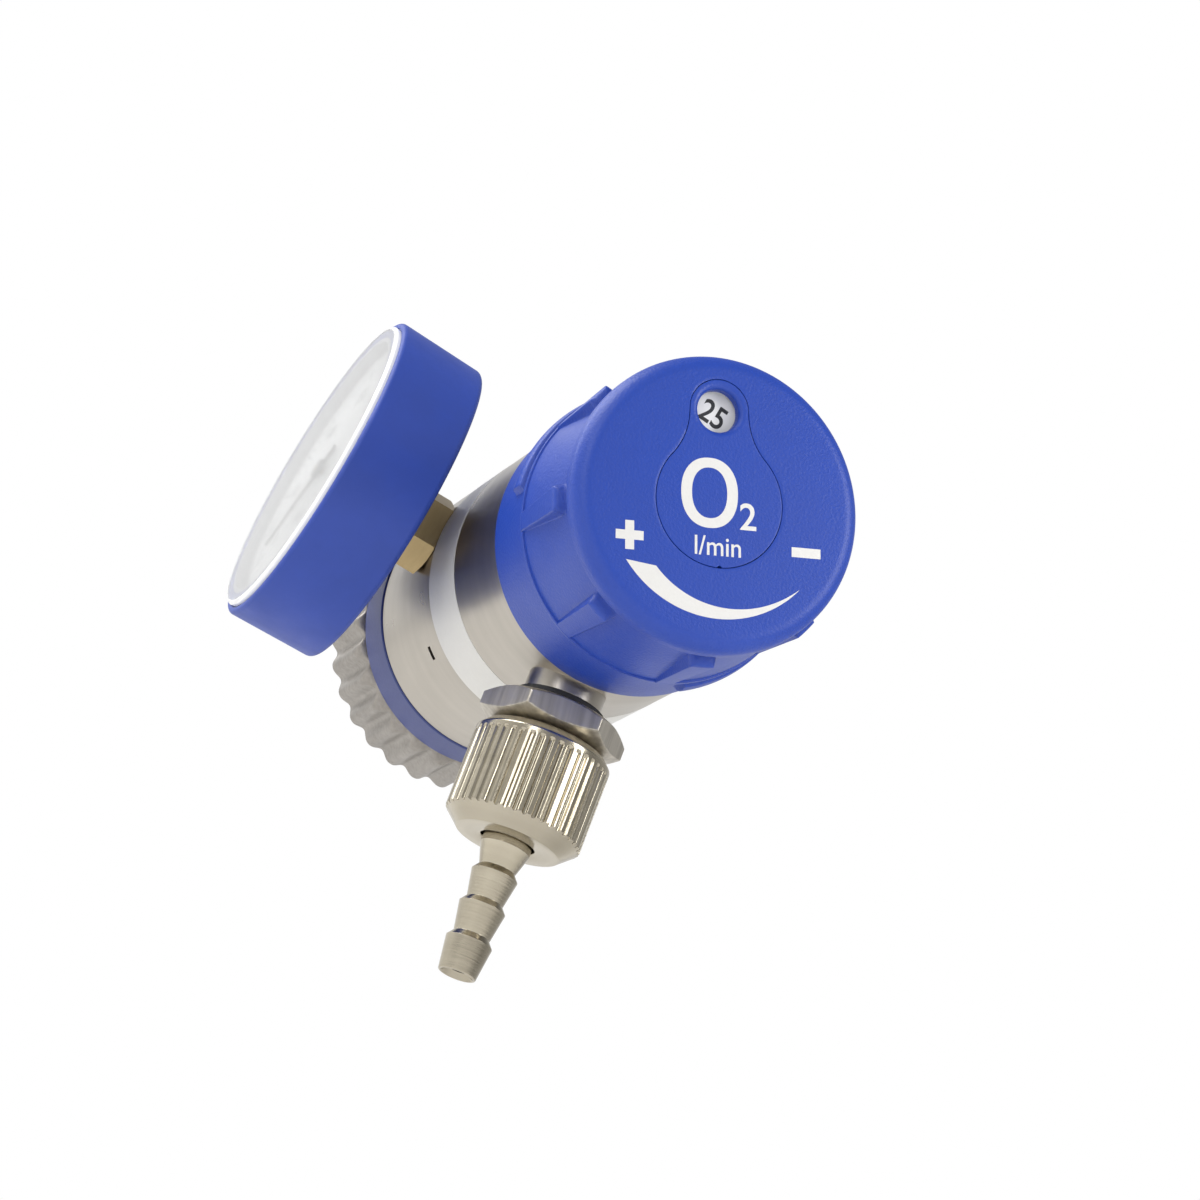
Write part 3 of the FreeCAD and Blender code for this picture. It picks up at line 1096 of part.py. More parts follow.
def make_pointer():
    tip_half = POINTER_HALF_WIDTH / 4
    neck = POINTER_LENGTH - 3 * POINTER_HALF_WIDTH
    corners = [(-POINTER_TAIL, -POINTER_HALF_WIDTH), (-POINTER_TAIL, POINTER_HALF_WIDTH), (neck, tip_half),
               (POINTER_LENGTH, 0), (neck, -tip_half)]
    face = Part.Face(outline(corners, lambda x, y: Vector(x, y, POINTER_LOW)))
    blade = face.extrude(Vector(0, 0, POINTER_THICK))
    hub = arbor(POINTER_HUB_R, POINTER_LOW, POINTER_HIGH + POINTER_THICK)
    pointer = fuse_all([blade, hub])
    pointer = pointer.cut(arbor(PINION_ARBOR_R + FIT_GAP / 2, GAUGE_DIAL_TOP, LENS_BACK))
    return to_gauge(pointer.rotated(ORIGIN, Vector(0, 0, 1), POINTER_ZERO))


def make_bourdon_tube():
    """Flattened tube bent to three quarters of a circle from the socket's post, with a closed end."""
    def bent(half_thick, half_width, sweep):
        corners = [(-half_thick, -half_width), (half_thick, -half_width), (half_thick, half_width),
                   (-half_thick, half_width)]
        face = Part.Face(outline(corners, lambda r, level: Vector(BOURDON_R + r, 0, MESH_LEVEL + level)))
        return face.revolve(ORIGIN, Vector(0, 0, 1), sweep)

    skin = bent(BOURDON_THICK / 2, BOURDON_WIDTH / 2, BOURDON_SWEEP)
    skin = skin.cut(bent(BOURDON_THICK / 2 - BOURDON_WALL, BOURDON_WIDTH / 2 - BOURDON_WALL,
                         BOURDON_SWEEP - BOURDON_TIP))
    thick = BOURDON_THICK + 2 * BOURDON_WALL
    tip = Part.makeBox(thick, BOURDON_TIP, BOURDON_WIDTH + BOURDON_WALL,
                       Vector(BOURDON_R - thick / 2, 0, MESH_LEVEL - BOURDON_WIDTH / 2 - BOURDON_WALL / 2))
    tip = tip.rotated(ORIGIN, Vector(0, 0, 1), BOURDON_SWEEP)
    return to_gauge(fuse_all([skin, tip]))


export("selector_knob", spin(make_knob(), KNOB_TURN))
export("knob_cover_plate", spin(make_cover_plate(), KNOB_TURN))
export("knob_screw", spin(make_knob_screw(), KNOB_TURN))
export("selector_spindle", spin(make_spindle(), KNOB_TURN))
export("orifice_disc", make_orifice_disc())
export("selector_block", make_selector_block())
export("block_o_ring", seal_ring(BLOCK_R, BLOCK_SEAL_SECTION, BLOCK_FRONT + BLOCK_SEAL_SETBACK))
export("bonnet", make_bonnet())
export("bonnet_screws", make_bonnet_screws())
export("spindle_o_ring", seal_ring(SPINDLE_R, SPINDLE_SEAL_SECTION, TOWER_FRONT + SPINDLE_SEAL_SETBACK))
export("detent_ball", make_detent_ball())
export("detent_spring", make_detent_spring())
export("flow_dial", spin(make_flow_dial(), DIAL_TURN))
export("collar_ring", make_collar())

export("body_shell", make_body())
export("label_band", make_label_band())
export("rear_ring", make_rear_ring())
export("piston", make_piston())
export("piston_seat", rod(SEAT_R, PISTON_END - SEAT_THICK + FIT_GAP, PISTON_END))
export("piston_head_o_ring", seal_ring(CHAMBER_R - RUNNING_GAP, HEAD_SEAL_SECTION, HEAD_SEAL))
export("piston_tail_o_ring", seal_ring(GUIDE_R - RUNNING_GAP, TAIL_SEAL_SECTION, TAIL_SEAL))
export("piston_spring", make_piston_spring())
export("inlet_stem", make_inlet_stem())
export("inlet_filter", rod(FILTER_R, FILTER_FRONT, FILTER_FRONT + FILTER_LENGTH))
export("inlet_seal", tube(INLET_SEAL_R, FILTER_R, STEM_FLANGE_BACK - INLET_SEAL_SINK + FIT_GAP,
                          STEM_FLANGE_BACK - INLET_SEAL_SINK + FIT_GAP + INLET_SEAL_THICK))
export("handwheel", make_handwheel())

export("outlet_adapter", make_adapter())
export("outlet_gasket", make_gasket())
export("union_nut", make_union_nut())
export("hose_tail", make_hose_tail())
export("outlet_seal", make_outlet_seal())

export("gauge_socket", make_gauge_socket())
export("gauge_case", make_gauge_case())
export("gauge_boot", make_gauge_boot())
export("gauge_lens", make_gauge_lens())
export("gauge_dial", make_gauge_dial())
export("gauge_movement_frame", make_movement_frame())
export("gauge_pinion", make_pinion())
export("gauge_sector", make_sector())
export("gauge_pointer", make_pointer())
export("bourdon_tube", make_bourdon_tube())
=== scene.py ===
"""Looks of the oxygen regulator: finished surfaces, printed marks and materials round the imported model.

Lengths are in millimetres until a mesh is made. Stations are distances behind the knob's face, depths are
distances below the main axis, and distances without another word run out along the gauge's axis. Angles
are in degrees, anticlockwise seen from the front.
"""
import json
import math

import bmesh
import bpy
import numpy as np
from mathutils import Matrix, Vector


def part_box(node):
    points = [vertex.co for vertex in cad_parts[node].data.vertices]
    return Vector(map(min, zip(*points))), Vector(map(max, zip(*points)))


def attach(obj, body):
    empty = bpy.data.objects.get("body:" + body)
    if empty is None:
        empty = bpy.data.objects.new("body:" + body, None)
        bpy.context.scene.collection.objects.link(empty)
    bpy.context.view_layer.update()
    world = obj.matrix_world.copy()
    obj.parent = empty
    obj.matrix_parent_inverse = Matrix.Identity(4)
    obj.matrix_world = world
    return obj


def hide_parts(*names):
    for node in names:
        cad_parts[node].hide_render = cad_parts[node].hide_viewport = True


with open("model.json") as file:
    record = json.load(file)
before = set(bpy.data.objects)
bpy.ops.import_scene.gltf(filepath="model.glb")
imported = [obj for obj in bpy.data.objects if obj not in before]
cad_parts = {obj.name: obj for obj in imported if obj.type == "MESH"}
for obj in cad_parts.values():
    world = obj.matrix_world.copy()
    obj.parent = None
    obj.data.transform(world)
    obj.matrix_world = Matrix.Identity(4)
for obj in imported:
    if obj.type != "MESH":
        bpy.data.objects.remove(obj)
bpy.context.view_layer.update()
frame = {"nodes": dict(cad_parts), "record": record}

# A millimetre and the distance at which points meet, both in metres, then the usual corner radius, the
# least length of a wall that gets rows, what counts as touching, and the shares of a whole stretch
MM = 0.001
MERGE = 1e-7
CORNER = 0.1
LONG_STRETCH = 5.0
TOUCH = 0.01
WHOLE = np.zeros(1)

# Turns
KNOB_TURN = 20.9
DIAL_TURN = -9.1
GAUGE_RISE = 5.5
HEX_TURN = 51.0

# Camera, where the photograph was taken from; what it looks at and its distance are in metres
VIEW_AZIMUTH = -14.43
VIEW_ELEVATION = -18.72
VIEW_ROLL = 21.05
VIEW_AIM = (-0.0107, -0.1278, -0.0216)
VIEW_DISTANCE = 0.8
VIEW_LENS = 141.9

# Light: levels of the plain light from below and above, how bright the reflected room is on its dark
# sides, and the lamps as name, azimuth, elevation, distance, width, height and power. Places and sizes of
# lamps and the floor's half width are in metres.
SOFT_BELOW = 0.40
SOFT_ABOVE = 0.80
ROOM_ABOVE = 0.3
ROOM_AHEAD = 0.5
ROOM_BESIDE = 0.5
LAMP_AIM = (0, -0.08, 0)
LAMPS = (
    ("side", -88, 44, 0.9, 0.45, 0.45, 4.5),
    ("rear", -130, 34, 0.9, 0.5, 0.5, 2.5),
    ("front", -40, 20, 0.9, 0.16, 0.5, 1.4),
    ("near", 39, 18, 0.3, 0.08, 0.16, 0.36),
)
FLOOR_HALF = 3.0
FLOOR_DROP = 0.7

# Knob
KNOB_R = 26.0
KNOB_EDGE = 3.0
KNOB_LIP = 4.4
KNOB_WALL_R = 24.9
KNOB_WALL_FRONT = 5.0
KNOB_CAVITY_R = 23.0
KNOB_FACE_THICK = 2.2
FLANGE_R = 26.37
FLANGE_FRONT = 25.9
KNOB_END = 27.14
HUB_R = 7.0
HUB_END = 20.0
SPINDLE_BORE_R = 4.05
SPINDLE_SEAT = 5.15
SCREW_HOLE_R = 1.6
SCREW_SEAT = 3.4
SCREW_HEAD_HOLE_R = 3.3
RIBS = 8
RIB_FRONT = 7.0
RIB_REAR = 26.5
RIB_FRONT_HALF = 2.1
RIB_REAR_HALF = 1.6
RIB_FRONT_R = 27.2
RIB_REAR_R = 26.5
RIB_NOSE = 1.3
RIB_CORNER = 1.3
RIB_STEEPNESS = 3.2
RIB_FINE = 7.0
RIB_NOSE_FALL = 0.7
RIB_TOP_BLEND = 0.45
RIB_FOOT_BLEND = 0.35
KNOB_ROWS = ((6.2, 3), (9.2, 22), (25.0, 16))
KNOB_LAST_ROWS = 5

# Cover plate and its window. A seam row is the distance beyond the plate's outline and the station; a
# plate row is a share of the outline, the inset from it and the station.
PLATE_THICK = 1.2
PLATE_BACK = 1.15
PLATE_R = 11.42
PLATE_SMALL_R = 5.3
PLATE_FLANK_R = 12.0
PLATE_GAP = 0.12
WINDOW_DISTANCE = 16.04
WINDOW_R = 3.75
WINDOW_MOUTH_R = 4.8
WINDOW_FRONT = 0.5
WINDOW_BACK = 3.0
NOTCH_R = 0.35
SEAM_ROWS = ((0.0, PLATE_THICK), (0.0, 0.08), (0.025, 0.025), (0.08, 0.0), (0.6, 0.0))
PLATE_ROWS = ((0.0, 0.0, 0.0), (0.5, 0.3, 0.0), (1.0, 0.3, 0.0), (1.0, 0.09, 0.0), (1.0, 0.025, 0.025),
              (1.0, 0.0, 0.09), (1.0, 0.0, PLATE_BACK), (0.5, 0.3, PLATE_BACK), (0.0, 0.0, PLATE_BACK))

# Collar
COLLAR_R = 25.75
COLLAR_FRONT = 27.6
COLLAR_END = 42.4
COLLAR_WEB_BACK = 30.5
SLEEVE_R = 22.3
SLEEVE_BORE_R = 20.4
DIAL_FRONT = 3.1
DIAL_BACK = 4.2
SPIGOT_HOLE_R = 23.95
LOBE_RISE = 1.25
LOBE_FRONT = 28.2
LOBE_BACK = 33.0
LOBE_HALF = 33.5
LOBE_SLOPE = 1.8
LOBE_CROWN = 0.3
COLLAR_ROWS = ((28.8, 10), (32.4, 10), (33.4, 10))
COLLAR_LAST_ROWS = 4
LOBE_MIDDLES = (63.5, -116.5)

# Hand wheel
WHEEL_FRONT = 119.9
WHEEL_MOUTH = 138.0
WHEEL_TIP_R = 27.0
WHEEL_VALLEY_R = 25.3
WHEEL_LOBES = 30
WHEEL_OUTSIDE_R = 20.0
WHEEL_BLEND = 0.7
WHEEL_STEP = 1.0
WHEEL_THREAD_STEP = 0.17
GROOVE_STEEPNESS = 2.6
GROOVE_CREST = 0.15
WHEEL_SHOULDER = 3.6
WHEEL_MOUTH_ROUND = 1.5
WHEEL_BORE_R = 8.01
WHEEL_WALL_BACK = 123.3
THREAD_R = 12.06
THREAD_FRONT = 126.5
THREAD_RELIEF_R = 12.6
THREAD_PITCH = 1.814
THREAD_DEPTH = 0.85
THREAD_CHAMFER = 0.9

# Outlet
OUTLET_STATION = 51.34
BODY_R = 25.2
SPIGOT_R = 23.9
BODY_FRONT = 38.0
LABEL_SEAT_R = 25.08
LABEL_FRONT = 66.5
LABEL_BACK = 80.9
LABEL_SEAT_EDGE = 0.04
BODY_EDGE = 0.4
RING_FRONT = 109.2
RING_BACK = 119.4
RING_SEAT_R = 23.0
STEM_BORE_R = 8.0
GUIDE_END = 99.5
GUIDE_R = 6.0
CHAMBER_END = 88.5
CHAMBER_R = 15.0
BLOCK_BACK = 56.0
BLOCK_BORE_R = 17.0
NECK_ROOT_R = 6.6
NECK_TOP = 20.0
HOLE_TOP = 12.0
NECK_R = 7.2
NECK_END = 28.0
GASKET_R = 8.3
GASKET_END = 29.4
PORT_R = 4.9
PORT_FLOOR = 18.5
PORT_SPOT = 24.6
PORT_SPOT_R = 8.48
VENT_TURN = 136.9
VENT_STATION = 86.9
VENT_LENGTH = 2.6
VENT_WIDTH = 1.3
PLUG_TOP = 18.6
PLUG_R = 6.55
HEX_TOP = 30.0
HEX_END = 35.3
HEX_ACROSS = 23.5
HEX_CORNER_R = HEX_ACROSS / math.sqrt(3)
HEX_TOP_R = 11.3
HEX_TOP_BEVEL = 1.3
HEX_FLAT_HEIGHT = 3.4
HEX_FOOT_R = 10.0
HEX_STEP = 0.3
HEX_CORNER_CUT = 0.06
HEX_CORNER_BLEND = 0.12
HEX_BLEND = 0.1
OUTLET_THREAD_R = 9.2
OUTLET_THREAD_END = 46.3
OUTLET_THREAD_PITCH = 1.5
OUTLET_THREAD_DEPTH = 0.7
OUTLET_THREAD_STEP = 0.16
OUTLET_BORE_R = 3.0
SEAL_SEAT_R = 5.28
SEAL_SEAT_TOP = 45.1
NUT_TOP = 35.7
NUT_END = 55.4
NUT_R = 12.56
NUT_PLAIN = 2.5
NUT_TOP_BEVEL = 1.5
NUT_FOOT_BEVEL = 2.8
NUT_FOOT_R = 9.6
NUT_HOLE_R = 5.0
NUT_BORE_R = 9.25
NUT_FLOOR = 49.9
NUT_FLUTES = 44
NUT_FLUTE_DEPTH = 0.42
NUT_CROWN = 0.05
NUT_RIDGE = 0.42
NUT_FLOOR_START = 0.60
NUT_FLOOR_END = 0.82
NUT_FOOT_STEP = 0.12
NUT_FOOT_ROWS = 24
TAIL_TOP = 46.8
TAIL_HEAD_R = 8.7
TAIL_HEAD_END = 49.8
TAIL_SHANK_R = 4.55
TAIL_SHANK_END = 56.6
TAIL_BORE_R = 2.4
BARB_R = 4.27
BARB_WAIST_R = 3.33
BARB_EDGES = (61.75, 67.97, 74.58)
BARB_BACK = 1.2
TIP_R = 3.45
TIP_END = 80.8
TIP_MOUTH_R = 3.0
TIP_BEVEL = 1.2
TAIL_TRAVEL = 9.01

# Gauge
GAUGE_STATION = 88.05
BOOT_BACK = 33.06
BOOT_LIP = 50.55
BOOT_R = 31.1
BOOT_BACK_R = 30.6
BOOT_HOLE_R = 11.0
BOOT_CASE_R = 27.35
BOOT_FLOOR_TOP = 34.95
LENS_R = 29.7
LENS_BACK = 50.3
GAUGE_FRONT = 51.55
GAUGE_DIAL_TOP = 48.0

# Printed marks: places as x and up from the middle of what they're printed on, turned with it. A clock
# is an angle clockwise from up.
MARK_THICK = 0.02
O_MIDDLE = (-1.8, 1.4)
O_INNER = (3.2, 4.4)
O_OUTER = (5.15, 6.1)
O_SQUARENESS = 0.9
TWO_MIDDLE = (5.2, -2.2)
TWO_SIZE = 6.6
UNIT_MIDDLE = (-0.3, -7.75)
UNIT_SIZE = 4.75
PLUS_X = -16.2
PLUS_UP = -7.1
PLUS_LENGTH = 5.0
PLUS_STROKE = 1.6
PLUS_ARM = 1.7
MINUS = (15.8, -7.6, 5.3, 1.7)
WEDGE_R = 20.3
WEDGE_WIDTH = 3.7
WEDGE_POINTS = 61
WEDGE_OUTER_START = 236
WEDGE_INNER_START = 223.5
WEDGE_TIP = 134
FLOWS = ("0", "0.5", "1", "1.5", "2", "3", "4", "5", "6", "9", "15", "25")
FLOW_SIZE = 5.7
LONG_FLOW_SIZE = 3.8
SCALE_START = 225
SCALE_SWEEP = 270
SCALE_END_R = 23.4
SHORT_TICKS = 60
LONG_TICK_EVERY = 5
LONG_TICK = (20.2, 0.22)
SHORT_TICK = (21.6, 0.12)
SCALE_NUMBERS = 6
SCALE_NUMBER_STEP = 50
SCALE_NUMBER_R = 16.8
SCALE_NUMBER_SIZE = 4.0
BAR_UP = -9.5
BAR_SIZE = 4.2

OUTLET_Y = OUTLET_STATION - WHEEL_MOUTH
GAUGE_Y = GAUGE_STATION - WHEEL_MOUTH


def smooth_least(a, b, blend):
    """The lesser of two arrays, with the corner between them rounded over 'blend'."""
    share = np.clip(0.5 + 0.5 * (b - a) / blend, 0, 1)
    return b + (a - b) * share - blend * share * (1 - share)


def smooth_greatest(a, b, blend):
    """The greater of two arrays, with the corner between them rounded over 'blend'."""
    return -smooth_least(-a, -b, blend)


def ramp(x, start, end):
    """0 before start, 1 after end, and a smooth S between them."""
    share = np.clip((x - start) / (end - start), 0, 1)
    return share * share * (3 - 2 * share)


# Places of the three axes
def main_axis(radius, station, angle):
    """Points round the main axis; angle in radians from up, anticlockwise seen from the front."""
    radius, station, angle = np.broadcast_arrays(radius, station, angle)
    return np.stack([-radius * np.sin(angle), station - WHEEL_MOUTH, radius * np.cos(angle)], axis=-1)


def outlet_axis(radius, depth, angle):
    """Points round the outlet's axis, which points down; angle in radians from the right."""
    radius, depth, angle = np.broadcast_arrays(radius, depth, angle)
    return np.stack([radius * np.cos(angle), OUTLET_Y + radius * np.sin(angle), -depth], axis=-1)


def gauge_axis(radius, distance, angle):
    """Points round the gauge's axis; angle in radians from its up, towards the rear."""
    radius, distance, angle = np.broadcast_arrays(radius, distance, angle)
    up = radius * np.cos(angle)
    rise = math.radians(GAUGE_RISE)
    return np.stack([up * math.sin(rise) - distance * math.cos(rise), GAUGE_Y + radius * np.sin(angle),
                     up * math.cos(rise) + distance * math.sin(rise)], axis=-1)


def turned_face(x, up, station, degrees):
    """Points across the main axis, with x and up in a frame that is turned by an angle in degrees."""
    turn = math.radians(degrees)
    return np.stack([x * math.cos(turn) - up * math.sin(turn), station - WHEEL_MOUTH,
                     x * math.sin(turn) + up * math.cos(turn)], axis=-1)


# Rows and columns of the surfaces of revolution
def full_turn(count):
    return np.arange(count) * 2 * math.pi / count


def places(start, *zones):
    """Even places from start: as many as its count in each (end, count) zone, in turn."""
    found = []
    for end, count in zones:
        found.append(np.linspace(start, end, count, endpoint=False))
        start = end
    return np.concatenate(found)


def repeated(turn, count, across):
    """Angles in radians: the places 'across', in degrees, for each of 'count' equal parts of a turn."""
    return np.radians(turn + (np.arange(count)[:, None] * (360.0 / count) + across).ravel())


def divided(profile, shares):
    """Closed profile with each stretch divided at the shares that shares(start, end) gives."""
    pieces = []
    for start, end in zip(profile, np.roll(profile, -1, axis=0)):
        pieces.append(start + (end - start) * shares(start, end)[:, None])
    return np.concatenate(pieces)


def even_shares(start, end, step, most=1000):
    """Shares that divide a stretch into equal parts no longer than 'step', but into 'most' parts at most."""
    parts = max(1, math.ceil(np.linalg.norm(end - start) / step - 1e-6))
    parts = min(parts, most)
    return np.arange(parts) / parts


def zone_shares(start, end, zones, last):
    """Shares of a stretch: even places in each (position, count) zone, then 'last' more to its end."""
    return (places(start[1], *zones, (end[1], last)) - start[1]) / (end[1] - start[1])


def is_long(start, end):
    """Whether a stretch is a long wall: its place along the axis grows by more than LONG_STRETCH."""
    return end[1] > start[1] + LONG_STRETCH


def with_rows(profile, least_r, zones, last):
    """Closed profile with rows added on its long wall outside 'least_r'."""
    def shares(start, end):
        if min(start[0], end[0]) > least_r and is_long(start, end):
            return zone_shares(start, end, zones, last)
        return WHOLE
    return divided(profile, shares)


def rounded(corners, soft=CORNER):
    """Closed profile through corners as an array of points.

    Each corner is replaced by an arc of the radius that stands third in it, or of the radius 'soft'.
    """
    count = len(corners)
    points = []
    for i, corner in enumerate(corners):
        here = np.array(corner[:2], float)
        to_before = np.array(corners[i - 1][:2], float) - here
        to_after = np.array(corners[(i + 1) % count][:2], float) - here
        room = 0.45 * min(np.linalg.norm(to_before), np.linalg.norm(to_after))
        to_before = to_before / np.linalg.norm(to_before)
        to_after = to_after / np.linalg.norm(to_after)
        half = math.acos(np.clip(to_before @ to_after, -1, 1)) / 2
        radius = corner[2] if len(corner) > 2 else soft
        if radius == 0 or half > 1.55:
            points.append(here[None])
            continue
        if len(corner) > 2:
            room = 2 * room
        back_off = min(radius / math.tan(half), room)
        radius = back_off * math.tan(half)
        between = to_before + to_after
        centre = here + between / np.linalg.norm(between) * radius / math.sin(half)
        sweep = math.pi - 2 * half
        share = np.linspace(0, 1, max(3, min(16, int(2 + sweep * radius / 0.2))))[:, None]
        start = here + to_before * back_off - centre
        end = here + to_after * back_off - centre
        arc = start * np.sin((1 - share) * sweep) + end * np.sin(share * sweep)
        points.append(centre + arc / math.sin(sweep))
    return np.concatenate(points)


# Meshes and objects
def grid_faces(rows, columns):
    """Corners of the faces of a grid whose last row joins its first and last column its first."""
    i, j = np.meshgrid(np.arange(rows), np.arange(columns), indexing="ij")
    below = (i + 1) % rows
    beside = (j + 1) % columns
    return np.stack([i * columns + j, i * columns + beside, below * columns + beside,
                     below * columns + j], axis=-1).reshape(-1, 4)


def turned_outwards(mesh):
    """The same closed mesh with its faces pointing outwards."""
    work = bmesh.new()
    work.from_mesh(mesh)
    bmesh.ops.recalc_face_normals(work, faces=work.faces)
    work.to_mesh(mesh)
    work.free()
    return mesh


def grid_mesh(name, points):
    return make_mesh(name, points.reshape(-1, 3), grid_faces(*points.shape[:2]))


def make_mesh(name, points, faces):
    """Mesh from points in millimetres: points that meet become one, and faces point outwards."""
    keys = np.round(points * MM / MERGE).astype(np.int64)
    _, first, merged = np.unique(keys, axis=0, return_index=True, return_inverse=True)
    corners = merged.reshape(-1)[faces]
    doubled = corners == np.roll(corners, -1, axis=1)
    quads = corners[~doubled.any(axis=1)]
    halved = doubled.sum(axis=1) == 1
    triangles = corners[halved][~doubled[halved]].reshape(-1, 3)
    mesh = bpy.data.meshes.new(name)
    mesh.from_pydata(points[first] * MM, [], quads.tolist() + triangles.tolist())
    return turned_outwards(mesh)


def link_new(name, data):
    """New object in the scene."""
    linked = bpy.data.objects.new(name, data)
    bpy.context.scene.collection.objects.link(linked)
    return linked


def add_riding(name, mesh, body, finish):
    """Object that rides on a body and wears a finish."""
    piece = link_new(name, mesh)
    mesh.materials.append(MATERIALS[finish])
    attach(piece, body)
    return piece


def add_piece(node, mesh, body, slot, sharp=32, finish=None):
    """Smooth shaded piece that replaces a node and wears its slot's finish, or its own."""
    mesh.shade_smooth()
    mesh.set_sharp_from_angle(angle=math.radians(sharp))
    piece = add_riding(node + "_surface", mesh, body, finish or slot)
    even = piece.modifiers.new("even shading", "WEIGHTED_NORMAL")
    even.keep_sharp = True
    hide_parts(node)
    return piece


def turned_mesh(name, place, profile, angles, bulge=None):
    """Surface of revolution: profile (radius, position) carried round an axis by 'place'.

    'bulge' takes the radius, the position and the angle, as arrays on the grid, and gives the radius.
    """
    radius = profile[:, 0][:, None]
    position = profile[:, 1][:, None]
    angle = angles[None, :]
    if bulge is not None:
        radius = bulge(radius, position, angle)
    return grid_mesh(name, place(radius, position, angle))


def add_turned(node, place, profile, angles, body, slot, bulge=None, sharp=32, finish=None):
    """Piece that is a surface of revolution."""
    mesh = turned_mesh(node + "_surface", place, profile, angles, bulge)
    return add_piece(node, mesh, body, slot, sharp, finish)


def evaluated_mesh(piece):
    """New mesh from an object as its modifiers or its text leave it."""
    bpy.context.view_layer.update()
    return bpy.data.meshes.new_from_object(piece.evaluated_get(bpy.context.evaluated_depsgraph_get()))


def combine(piece, other_mesh, operation="DIFFERENCE"):
    """Take a closed shape out of a piece or join it on, and keep the result as the piece's mesh."""
    cutter = link_new("cutter", other_mesh)
    cut = piece.modifiers.new("cut", "BOOLEAN")
    cut.operation = operation
    cut.solver = "EXACT"
    cut.object = cutter
    result = evaluated_mesh(piece)
    result.name = piece.data.name
    piece.modifiers.remove(cut)
    piece.data = result
    bpy.data.objects.remove(cutter)


# Knob
def pear_radius(angle, big_r, small_r, flank_r):
    """Radius of the cover plate's outline at an angle from its up.

    A small circle round the window at the top, a big one round the axis below, and between them on
    each side a circle that is hollow to the plate and touches both.
    """
    spacing = WINDOW_DISTANCE
    big_reach = big_r + flank_r
    small_reach = small_r + flank_r
    flank_z = (big_reach ** 2 - small_reach ** 2 + spacing ** 2) / (2 * spacing)
    flank_x = math.sqrt(big_reach ** 2 - flank_z ** 2)
    turn = np.abs((angle + math.pi) % (2 * math.pi) - math.pi)
    small_end = math.atan2(flank_x * small_r / small_reach,
                           spacing + (flank_z - spacing) * small_r / small_reach)
    big_start = math.atan2(flank_x, flank_z)
    towards_small = spacing * np.cos(turn)
    on_small = towards_small + np.sqrt(np.maximum(small_r ** 2 - (spacing * np.sin(turn)) ** 2, 0))
    towards_flank = flank_x * np.sin(turn) + flank_z * np.cos(turn)
    gap = np.maximum(towards_flank ** 2 - flank_x ** 2 - flank_z ** 2 + flank_r ** 2, 0)
    on_flank = towards_flank - np.sqrt(gap)
    return np.where(turn < small_end, on_small, np.where(turn < big_start, on_flank, big_r))


def rib_surface(radius, station, angle):
    """Knob's wall with its ribs.

    Each rib's radius is its top, which falls towards the rear and is rounded at the nose, less a steep
    slope times the distance outside a round-cornered outline that narrows towards the rear. The wall
    is the greater of that and the plain wall, with the corner rounded.
    """
    pitch = 2 * math.pi / RIBS
    turn = (angle - math.radians(KNOB_TURN) + pitch / 2) % pitch - pitch / 2
    across = np.abs(turn) * KNOB_R
    along = np.clip((station - RIB_FRONT) / (RIB_REAR - RIB_FRONT), 0, 1)
    half = RIB_FRONT_HALF + (RIB_REAR_HALF - RIB_FRONT_HALF) * along
    out_side = across - half + RIB_CORNER
    out_nose = RIB_FRONT - station + RIB_CORNER
    distance = (np.hypot(np.maximum(out_side, 0), np.maximum(out_nose, 0))
                + np.minimum(np.maximum(out_side, out_nose), 0) - RIB_CORNER)
    top = RIB_FRONT_R + (RIB_REAR_R - RIB_FRONT_R) * along
    nose = np.clip((RIB_FRONT + RIB_NOSE - station) / RIB_NOSE, 0, 1)
    top = top - RIB_NOSE * (1 - np.sqrt(1 - nose ** 2)) * RIB_NOSE_FALL
    rib = smooth_least(top, top - RIB_STEEPNESS * distance, RIB_TOP_BLEND)
    outer = (station > KNOB_WALL_FRONT - 1) & (station < KNOB_END - 0.4) & (radius > KNOB_CAVITY_R + 1)
    return np.where(outer, smooth_greatest(radius + 0 * angle, rib, RIB_FOOT_BLEND), radius)


